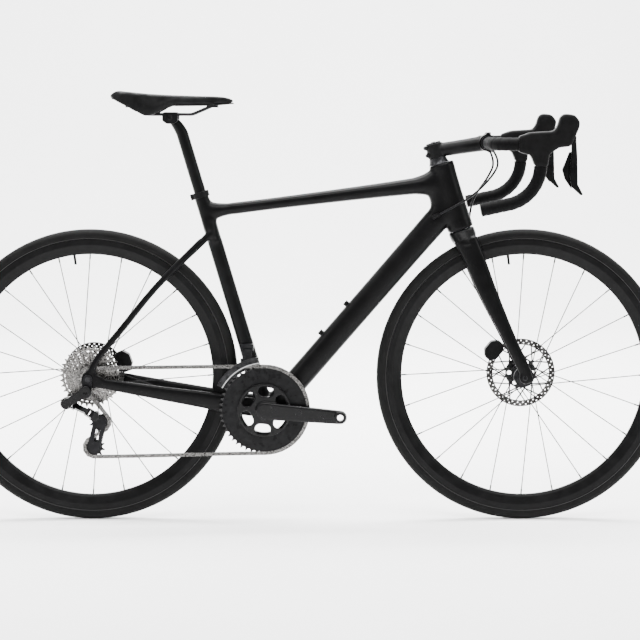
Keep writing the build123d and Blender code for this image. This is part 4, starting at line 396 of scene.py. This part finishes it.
alloy_black = finish(
    "black_anodised_alloy", (0.005, 0.005, 0.0055), (0.011, 0.011, 0.012), (0.28, 0.40),
    metal=0.25, patch=60, grain=4500, height=0.015,
)
black_steel = finish(
    "blackened_steel", (0.014, 0.014, 0.015), (0.035, 0.035, 0.037), (0.26, 0.42),
    metal=0.8, patch=120, grain=3000, height=0.01,
)
dress(alloy_black, "derailleur_hanger", "fd_mount")
dress(satin_black, "frame_fittings")
dress(black_steel, "frame_bearings", "rear_axle", "front_axle", "stem_hardware")

# ---- Fork. A moulded carbon fork in the same satin black: two blades that spread from a
# crown over the tyre, with thick tips that hold the front axle.
blades = bmesh.new()
leg = (  # along the steering axis, ahead of it, to the side, a thickness, a depth
    (-14, 51, 56.5, 12, 24), (27, 48, 56.5, 13, 29), (95, 37.5, 53.5, 14, 30),
    (206, 21.6, 43, 15, 42), (280, 15, 35.5, 18, 47), (343, 7, 26, 26, 55),
)
for side in (-1, 1):
    stations = [(on_steerer(along, ahead, side * out), thick, depth) for along, ahead, out, thick, depth in leg]
    tube(blades, stations, 5, 2.3, STEER)
    drum(blades, FRONT, 0.0125, side * 0.050, side * 0.063)
crown = [(on_steerer(331, 9), 86, 48), (on_steerer(345, 6), 76, 59), (on_steerer(365, 4.5), 54, 60)]
tube(blades, crown, 3, 2.2, STEER)
melted(blades, "fork_skin", satin_black, 1.8, 6)
room_radius, room_half = 0.346, 0.021  # the room for the tyre
for v in blades.verts:
    out = v.co - FRONT
    radius = hypot(out.x, out.z)
    if radius < room_radius and abs(v.co.y) < room_half:
        if room_radius - radius < room_half - abs(v.co.y):
            v.co.x, v.co.z = FRONT.x + out.x * room_radius / radius, FRONT.z + out.z * room_radius / radius
        else:
            v.co.y = room_half if v.co.y > 0 else -room_half
smoothed(blades, blades.verts, 3)
placed(blades, "fork_skin", satin_black, "steering", ("fork",))
steerer = bmesh.new()
tube(steerer, [(on_steerer(360), 28.6, 28.6), (on_steerer(574), 28.6, 28.6)], 1, 2.0, STEER)
placed(steerer, "steerer", satin_black, "steering")


# ---- Stem. A forged alloy stem, blasted and anodised black, clamped on the steerer, with a
# faceplate that four small bolts hold over the bar.
def forged(name, nodes, material, body, voxel=1.0, passes=5):
    """A copy of CAD parts whose hard edges are worn to the small radii of a forging."""
    bm = bmesh.new()
    for node in nodes:
        bm.from_mesh(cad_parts[node].data)
    melted(bm, name, material, voxel, passes)
    return placed(bm, name, material, body, nodes)


blasted_alloy = finish(
    "blasted_black_alloy", (0.0022, 0.0022, 0.0023), (0.0050, 0.0050, 0.0053), (0.36, 0.46),
    metal=0.2, patch=35, grain=2600, height=0.03,
)
forged("seat_collar", ("seat_clamp",), blasted_alloy, "frame", 0.7, 14)
forged("stem_forging", ("stem",), blasted_alloy, "steering", 1.0, 16)

# ---- Handlebar and tape. A bent alloy tube, wound with soft cork tape from the hoods to the
# stem and down to the ends of the drops, where plugs close it. Each turn laps the last.
dress(alloy_black, "handlebar")
tape_black = finish(
    "cork_tape", (0.0006, 0.0006, 0.0007), (0.0022, 0.0022, 0.0024), (0.50, 0.64),
    patch=260, grain=1500, height=0.12, gleam=0.05,
)
BAR = on_steerer(556) + Vector((cos(radians(8.8)), 0, sin(radians(8.8)))) * 120 * MM


def along_arc(points, centre, start, end, radius, y, steps):
    """Adds points on an arc seen from the right, from one angle to the other in degrees."""
    for i in range(1, steps + 1):
        turn = radians(start + (end - start) * i / steps)
        points.append(centre + Vector((radius * cos(turn), y, radius * sin(turn))) * MM)


def wound(name, points, turns_start, radius=14.3, lap=17.0):
    """A tube of tape along a line of points, its surface rising towards the edge of each turn."""
    line = bpy.data.curves.new(name, "CURVE")
    line.dimensions = "3D"
    spline = line.splines.new("POLY")
    spline.points.add(len(points) - 1)
    for point, place in zip(spline.points, points):
        point.co = (*place, 1)
    line.bevel_depth = radius * MM
    line.bevel_resolution = 10
    line.use_fill_caps = True
    guide = bpy.data.objects.new(name + "_line", line)
    bpy.context.scene.collection.objects.link(guide)
    mesh = mesh_of(guide)
    bpy.data.objects.remove(guide)
    around = 24
    run = 0.0
    for i, centre in enumerate(points):
        if i:
            run += (centre - points[i - 1]).length / MM
        for k in range(around):
            v = mesh.vertices[i * around + k]
            rise = (turns_start + run / lap + k / around) % 1.0
            v.co += (v.co - centre).normalized() * (0.75 * rise - 0.15) * MM
    return whole_mesh(name, mesh, tape_black)


def spaced(points, gap=1.4):
    """The same line with a point every gap mm."""
    found = [points[0]]
    for one, two in zip(points, points[1:]):
        count = max(1, round((two - one).length / MM / gap))
        found += [one + (two - one) * (i + 1) / count for i in range(count)]
    return found


tapes = []
for side, word in ((-1, "right"), (1, "left")):
    flat_run = [BAR + Vector((0, side * 63, 0)) * MM, BAR + Vector((0, side * 168, 0)) * MM]
    for i in range(1, 13):
        turn = radians(90 * i / 12)
        flat_run.append(BAR + Vector((42 * (1 - cos(turn)), side * (168 + 42 * sin(turn)), 0)) * MM)
    flat_run.append(BAR + Vector((51, side * 210, 0)) * MM)
    upper = wound("tape_upper_" + word, spaced(flat_run), 0.0)
    hook_centre = BAR + Vector((14, side * 210, -48)) * MM
    hook = []
    along_arc(hook, hook_centre, 0, 0, 85, 0, 1)
    along_arc(hook, hook_centre, 0, -78, 85, 0, 40)
    out = Vector((-sin(radians(78)), 0, -cos(radians(78))))
    hook.append(hook[-1] + out * 63 * MM)
    lower = wound("tape_lower_" + word, spaced(hook), 0.4)
    tapes += [upper, lower]
bm = bmesh.new()
for piece in tapes:
    bm.from_mesh(piece.data)
    bpy.data.objects.remove(piece)
placed(bm, "bar_tape_wound", tape_black, "steering", ("bar_tape",))

# ---- Hoods, levers and shift paddles. The hoods are ribbed rubber over the lever bodies, the
# brake levers are smooth black composite, and a shift paddle hangs behind each lever.
hood_rubber = finish(
    "hood_rubber", (0.0008, 0.0008, 0.0009), (0.0024, 0.0024, 0.0026), (0.46, 0.58),
    patch=90, grain=1800, height=0.05,
)
lever_black = finish(
    "lever_composite", (0.0012, 0.0012, 0.0013), (0.0030, 0.0030, 0.0032), (0.22, 0.34),
    patch=40, grain=2500, height=0.015,
)
forged("hood_rubbers", ("hoods",), hood_rubber, "steering", 1.5, 46)
for word in ("right", "left"):
    forged("lever_blade_" + word, ("brake_lever_" + word,), lever_black, "lever_" + word, 0.8, 5)
    forged("paddle_" + word, ("shift_paddle_" + word,), lever_black, "paddle_" + word, 0.7, 4)

# ---- Seatpost and its head. A round carbon post in satin black with an alloy cradle that two
# bolts close over the rails.
dress(satin_black, "seatpost")
forged("rail_cradle", ("saddle_clamp",), blasted_alloy, "saddle", 0.9, 12)

# ---- Saddle. A nylon shell on hollow steel rails carries a foam pad, and a thin cover of
# fine-grained black synthetic leather is glued over the pad.
rail_steel = finish(
    "rail_steel", (0.008, 0.008, 0.0085), (0.020, 0.020, 0.021), (0.28, 0.40),
    metal=0.5, patch=80, grain=3000, height=0.01,
)
shell_nylon = finish(
    "shell_nylon", (0.005, 0.005, 0.005), (0.010, 0.010, 0.0105), (0.36, 0.48),
    patch=70, grain=1500, height=0.05,
)
dress(rail_steel, "saddle_rails")
dress(shell_nylon, "saddle_shell")
cover_leather = finish(
    "saddle_cover", (0.0022, 0.0022, 0.0023), (0.0055, 0.0055, 0.0058), (0.34, 0.46),
    patch=45, grain=1400, height=0.07,
)
pad = bmesh.new()
pad.from_mesh(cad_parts["saddle_pad"].data)
melted(pad, "pad_foam", cover_leather, 3.2, 2)
low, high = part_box("saddle_pad")
mesh = bpy.data.meshes.new("pad_foam")
pad.to_mesh(mesh)
foam = whole_mesh("pad_foam", mesh, cover_leather)
held = foam.vertex_groups.new(name="held")
held.add([v.index for v in mesh.vertices if v.normal.z < -0.25], 1.0, "REPLACE")
stuffing = foam.modifiers.new("stuffing", "CLOTH")
stuffing.settings.use_pressure = True
stuffing.settings.uniform_pressure_force = 4.0
stuffing.settings.effector_weights.gravity = 0.0
stuffing.settings.vertex_group_mass = "held"
for step in range(1, 21):
    bpy.context.scene.frame_set(step)
swollen = mesh_of(foam)
for v, grown in zip(pad.verts, swollen.vertices):
    move = grown.co - v.co
    v.co += move * min(1.0, 1.5 * MM / max(move.length, 1e-9))
bpy.context.scene.frame_set(1)
bpy.data.objects.remove(foam)
for v in pad.verts:  # a shallow channel down the middle relieves the rider
    share = (v.co.x - low.x) / (high.x - low.x)
    if v.normal.z > 0 and 0.08 < share < 0.9:
        v.co.z -= 3.2 * MM * sin(pi * (share - 0.08) / 0.82) ** 0.7 * 2.718 ** -((v.co.y / (8 * MM)) ** 2)
smoothed(pad, pad.verts, 3)
saddle_top = placed(pad, "saddle_cover", cover_leather, "saddle", ("saddle_pad",))
finer = saddle_top.modifiers.new("finer", "SUBSURF")
finer.levels = finer.render_levels = 1


# ---- Tyres. Tubeless rubber tyres, matte black, with a smooth crown, a fine file pattern on
# its shoulders and a moulded line round each sidewall just above the rim.
def maths(tree, operation, *values):
    """A Math node on these numbers or sockets."""
    node = tree.nodes.new("ShaderNodeMath")
    node.operation = operation
    for socket, value in zip(node.inputs, values):
        if isinstance(value, (int, float)):
            socket.default_value = value
        else:
            tree.links.new(value, socket)
    return node.outputs[0]


def about(tree, centre):
    """The distance from an axle along Y, the angle round it and the place along it, as sockets."""
    place = tree.nodes.new("ShaderNodeTexCoord").outputs["Object"]
    shift = tree.nodes.new("ShaderNodeMapping")
    shift.inputs["Location"].default_value = -centre
    split = tree.nodes.new("ShaderNodeSeparateXYZ")
    tree.links.new(place, shift.inputs["Vector"])
    tree.links.new(shift.outputs["Vector"], split.inputs["Vector"])
    x, y, z = (split.outputs[axis] for axis in "XYZ")
    radius = maths(tree, "SQRT", maths(tree, "ADD", maths(tree, "MULTIPLY", x, x), maths(tree, "MULTIPLY", z, z)))
    return radius, maths(tree, "ARCTAN2", z, x), y


def emboss(material, height, distance):
    """Adds a pattern in relief over what the material has, its full height in mm."""
    tree = material.node_tree
    normal = tree.nodes["Principled BSDF"].inputs["Normal"]
    bump = tree.nodes.new("ShaderNodeBump")
    bump.inputs["Distance"].default_value = distance * MM
    tree.links.new(normal.links[0].from_socket, bump.inputs["Normal"])
    tree.links.new(height, bump.inputs["Height"])
    tree.links.new(bump.outputs["Normal"], normal)


def shaded(material, share, colour):
    """Blends a colour over the material by a share from 0 to 1."""
    tree = material.node_tree
    base = tree.nodes["Principled BSDF"].inputs["Base Color"]
    mix = tree.nodes.new("ShaderNodeMix")
    mix.data_type = "RGBA"
    tree.links.new(base.links[0].from_socket, mix.inputs[6])
    mix.inputs[7].default_value = (*colour, 1)
    tree.links.new(share, mix.inputs[0])
    tree.links.new(mix.outputs[2], base)


def ring_at(tree, radius, place, half):
    """1 on a ring at that radius in mm, falling to 0 at half mm each side."""
    away = maths(tree, "ABSOLUTE", maths(tree, "SUBTRACT", radius, place * MM))
    return maths(tree, "SUBTRACT", 1.0, maths(tree, "MINIMUM", 1.0, maths(tree, "DIVIDE", away, half * MM)))


def clear_of(tree, value, low, high):
    """0 below low, 1 above high, and even between."""
    node = tree.nodes.new("ShaderNodeMapRange")
    tree.links.new(value, node.inputs["Value"])
    node.inputs["From Min"].default_value, node.inputs["From Max"].default_value = low, high
    return node.outputs["Result"]


for word, axle in (("front", FRONT), ("rear", REAR)):
    rubber = finish(
        word + "_tyre_rubber", (0.0022, 0.0022, 0.0022), (0.0045, 0.0045, 0.0045), (0.55, 0.70),
        patch=40, grain=1600, height=0.06,
    )
    tree = rubber.node_tree
    radius, angle, across = about(tree, axle)
    off = maths(tree, "ABSOLUTE", across)
    round_it, over_it = maths(tree, "MULTIPLY", angle, 340.0), maths(tree, "MULTIPLY", off, 1500.0)
    hatch = maths(tree, "SINE", maths(tree, "ADD", round_it, over_it))
    shoulder = maths(tree, "MULTIPLY", clear_of(tree, off, 0.0045, 0.0055), clear_of(tree, radius, 0.3325, 0.3335))
    emboss(rubber, maths(tree, "MULTIPLY", hatch, shoulder), 0.25)
    emboss(rubber, ring_at(tree, radius, 318.5, 0.8), 0.4)
    emboss(rubber, ring_at(tree, radius, 331.0, 0.5), -0.3)
    shaded(rubber, maths(tree, "MULTIPLY", ring_at(tree, radius, 317.5, 0.9), 0.6), (0.10, 0.10, 0.10))
    dress(rubber, word + "_tyre")

    # Rims: deep carbon rims with a satin unidirectional skin that runs round the wheel.
    carbon = finish(
        word + "_rim_carbon", (0.0018, 0.0018, 0.0019), (0.0036, 0.0036, 0.0038), (0.30, 0.40),
        patch=30, grain=2500, height=0.015,
    )
    tree = carbon.node_tree
    radius, angle, across = about(tree, axle)
    outward, round_it = maths(tree, "MULTIPLY", radius, 5200.0), maths(tree, "MULTIPLY", angle, 40.0)
    strands = maths(tree, "SINE", maths(tree, "ADD", outward, round_it))
    emboss(carbon, strands, 0.012)
    dress(carbon, word + "_rim")

# ---- Hubs, spokes, axles and rotors. The hubs are turned alloy shells, anodised black, laced
# with thin blackened steel spokes. Each rotor is a drilled steel ring on an alloy spider.
for word, axle, track in (("front", FRONT, 73.0), ("rear", REAR, 63.0)):
    shell = finish(
        word + "_hub_alloy", (0.006, 0.006, 0.0065), (0.013, 0.013, 0.014), (0.24, 0.34),
        metal=0.35, patch=80, grain=4000, height=0.01,
    )
    dress(shell, word + "_hub")
    disc = finish(
        word + "_rotor_steel", (0.018, 0.0175, 0.017), (0.06, 0.059, 0.058), (0.26, 0.40),
        metal=1.0, patch=55, grain=3500, height=0.008,
    )
    tree = disc.node_tree
    radius, angle, across = about(tree, axle)
    rings = maths(tree, "SINE", maths(tree, "MULTIPLY", radius, 9000.0))
    emboss(disc, rings, 0.012)
    band = clear_of(tree, radius, (track - 9) * MM, (track - 8) * MM)
    shaded(disc, maths(tree, "SUBTRACT", 1.0, band), (0.025, 0.025, 0.026))
    dress(disc, word + "_rotor")
spoke_black = finish(
    "spoke_black", (0.001, 0.001, 0.0011), (0.002, 0.002, 0.0022), (0.40, 0.50),
    metal=0.0, patch=70, grain=3500, height=0.01,
)
dress(spoke_black, "front_spokes", "rear_spokes")

# ---- Brake calipers and pads. Forged alloy bodies, anodised black, that straddle each rotor
# with a pair of pads in steel holders.
forged("front_caliper_body", ("front_caliper",), blasted_alloy, "steering", 0.9, 20)
forged("rear_caliper_body", ("rear_caliper",), blasted_alloy, "frame", 0.9, 20)
pad_steel = finish(
    "pad_holder_steel", (0.10, 0.095, 0.09), (0.18, 0.175, 0.17), (0.40, 0.55),
    metal=0.8, patch=200, grain=2000, height=0.02,
)
dress(pad_steel, *(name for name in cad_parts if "_pad_" in name))

# ---- Cranks and chainrings. Hollow forged arms with a polished black skin carry two machined
# rings on a six-armed spider, and a thread at each end takes a pedal.
gloss_black = finish(
    "polished_black", (0.0015, 0.0015, 0.0016), (0.0040, 0.0040, 0.0043), (0.16, 0.26),
    metal=0.0, patch=22, grain=3500, height=0.008, gleam=0.13,
)
forged("crank_arm_right", ("crank_right",), gloss_black, "crank", 0.9, 5)
forged("crank_arm_left", ("crank_left",), gloss_black, "crank", 0.9, 5)
ring_alloy = finish(
    "chainring_alloy", (0.0030, 0.0030, 0.0032), (0.0085, 0.0085, 0.009), (0.24, 0.36),
    metal=0.2, patch=60, grain=3200, height=0.01,
)
tree = ring_alloy.node_tree
radius, angle, across = about(tree, BB)
emboss(ring_alloy, maths(tree, "SINE", maths(tree, "MULTIPLY", radius, 7000.0)), 0.01)
shaded(ring_alloy, maths(tree, "MULTIPLY", clear_of(tree, radius, 0.0965, 0.0985), 0.4), (0.06, 0.06, 0.06))
dress(ring_alloy, "chainrings")

# ---- Chain and cassette. Stamped and pressed steel plates on hardened pins, with a thin film
# of oil, and twelve stamped sprockets whose faces are brushed and nickel-plated.
# Painted glints: the bright patches in the chain's colour stand in for glints of light on its plates.
chain_steel = finish(
    "chain_steel", (0.010, 0.0098, 0.0095), (0.19, 0.185, 0.18), (0.22, 0.40),
    metal=1.0, patch=330, grain=2500, height=0.015,
)
dress(chain_steel, "chain")
# Painted glints: the bright patches in the sprockets' colour stand in for sparkle of light on their teeth.
cog_steel_painted_glints = finish(
    "sprocket_steel_painted_glints", (0.020, 0.019, 0.018), (0.30, 0.29, 0.28), (0.20, 0.36),
    metal=1.0, patch=260, grain=3000, height=0.01,
)
tree = cog_steel_painted_glints.node_tree
radius, angle, across = about(tree, REAR)
emboss(cog_steel_painted_glints, maths(tree, "SINE", maths(tree, "MULTIPLY", radius, 8000.0)), 0.012)
dress(cog_steel_painted_glints, "cassette")

# ---- Front derailleur. A stamped steel cage with a blackened skin and a painted highlight along
# its lower edges, hung on a short alloy link from a mount on the seat tube.
cage_steel_painted_highlight = finish(
    "cage_steel_painted_highlight", (0.010, 0.010, 0.0105), (0.028, 0.028, 0.029), (0.24, 0.38),
    metal=0.7, patch=90, grain=3000, height=0.01,
)
tree = cage_steel_painted_highlight.node_tree
radius, angle, across = about(tree, BB)
# A painted highlight: a pale band at 109.5 mm from the crank axle, along the cage's lower edges.
shaded(cage_steel_painted_highlight, ring_at(tree, radius, 109.5, 1.8), (0.45, 0.45, 0.45))
dress(cage_steel_painted_highlight, "fd_cage")
dress(alloy_black, "fd_link")

# ---- Rear derailleur. Two alloy knuckles joined by a pair of links swing the cage under the
# sprockets, and two toothed pulleys guide the chain through it.
forged("rear_knuckle_upper", ("rd_b_knuckle",), gloss_black, "frame", 0.7, 4)
forged("rear_knuckle_lower", ("rd_p_knuckle",), gloss_black, "rd_p_knuckle", 0.7, 4)
forged("rear_link_outer", ("rd_outer_link",), gloss_black, "rd_outer_link", 0.7, 4)
dress(alloy_black, "rd_inner_link", "rd_cage")
pulley_nylon = finish(
    "pulley_nylon", (0.006, 0.006, 0.006), (0.012, 0.012, 0.012), (0.45, 0.58),
    patch=90, grain=1800, height=0.04,
)
dress(pulley_nylon, "guide_pulley", "tension_pulley")
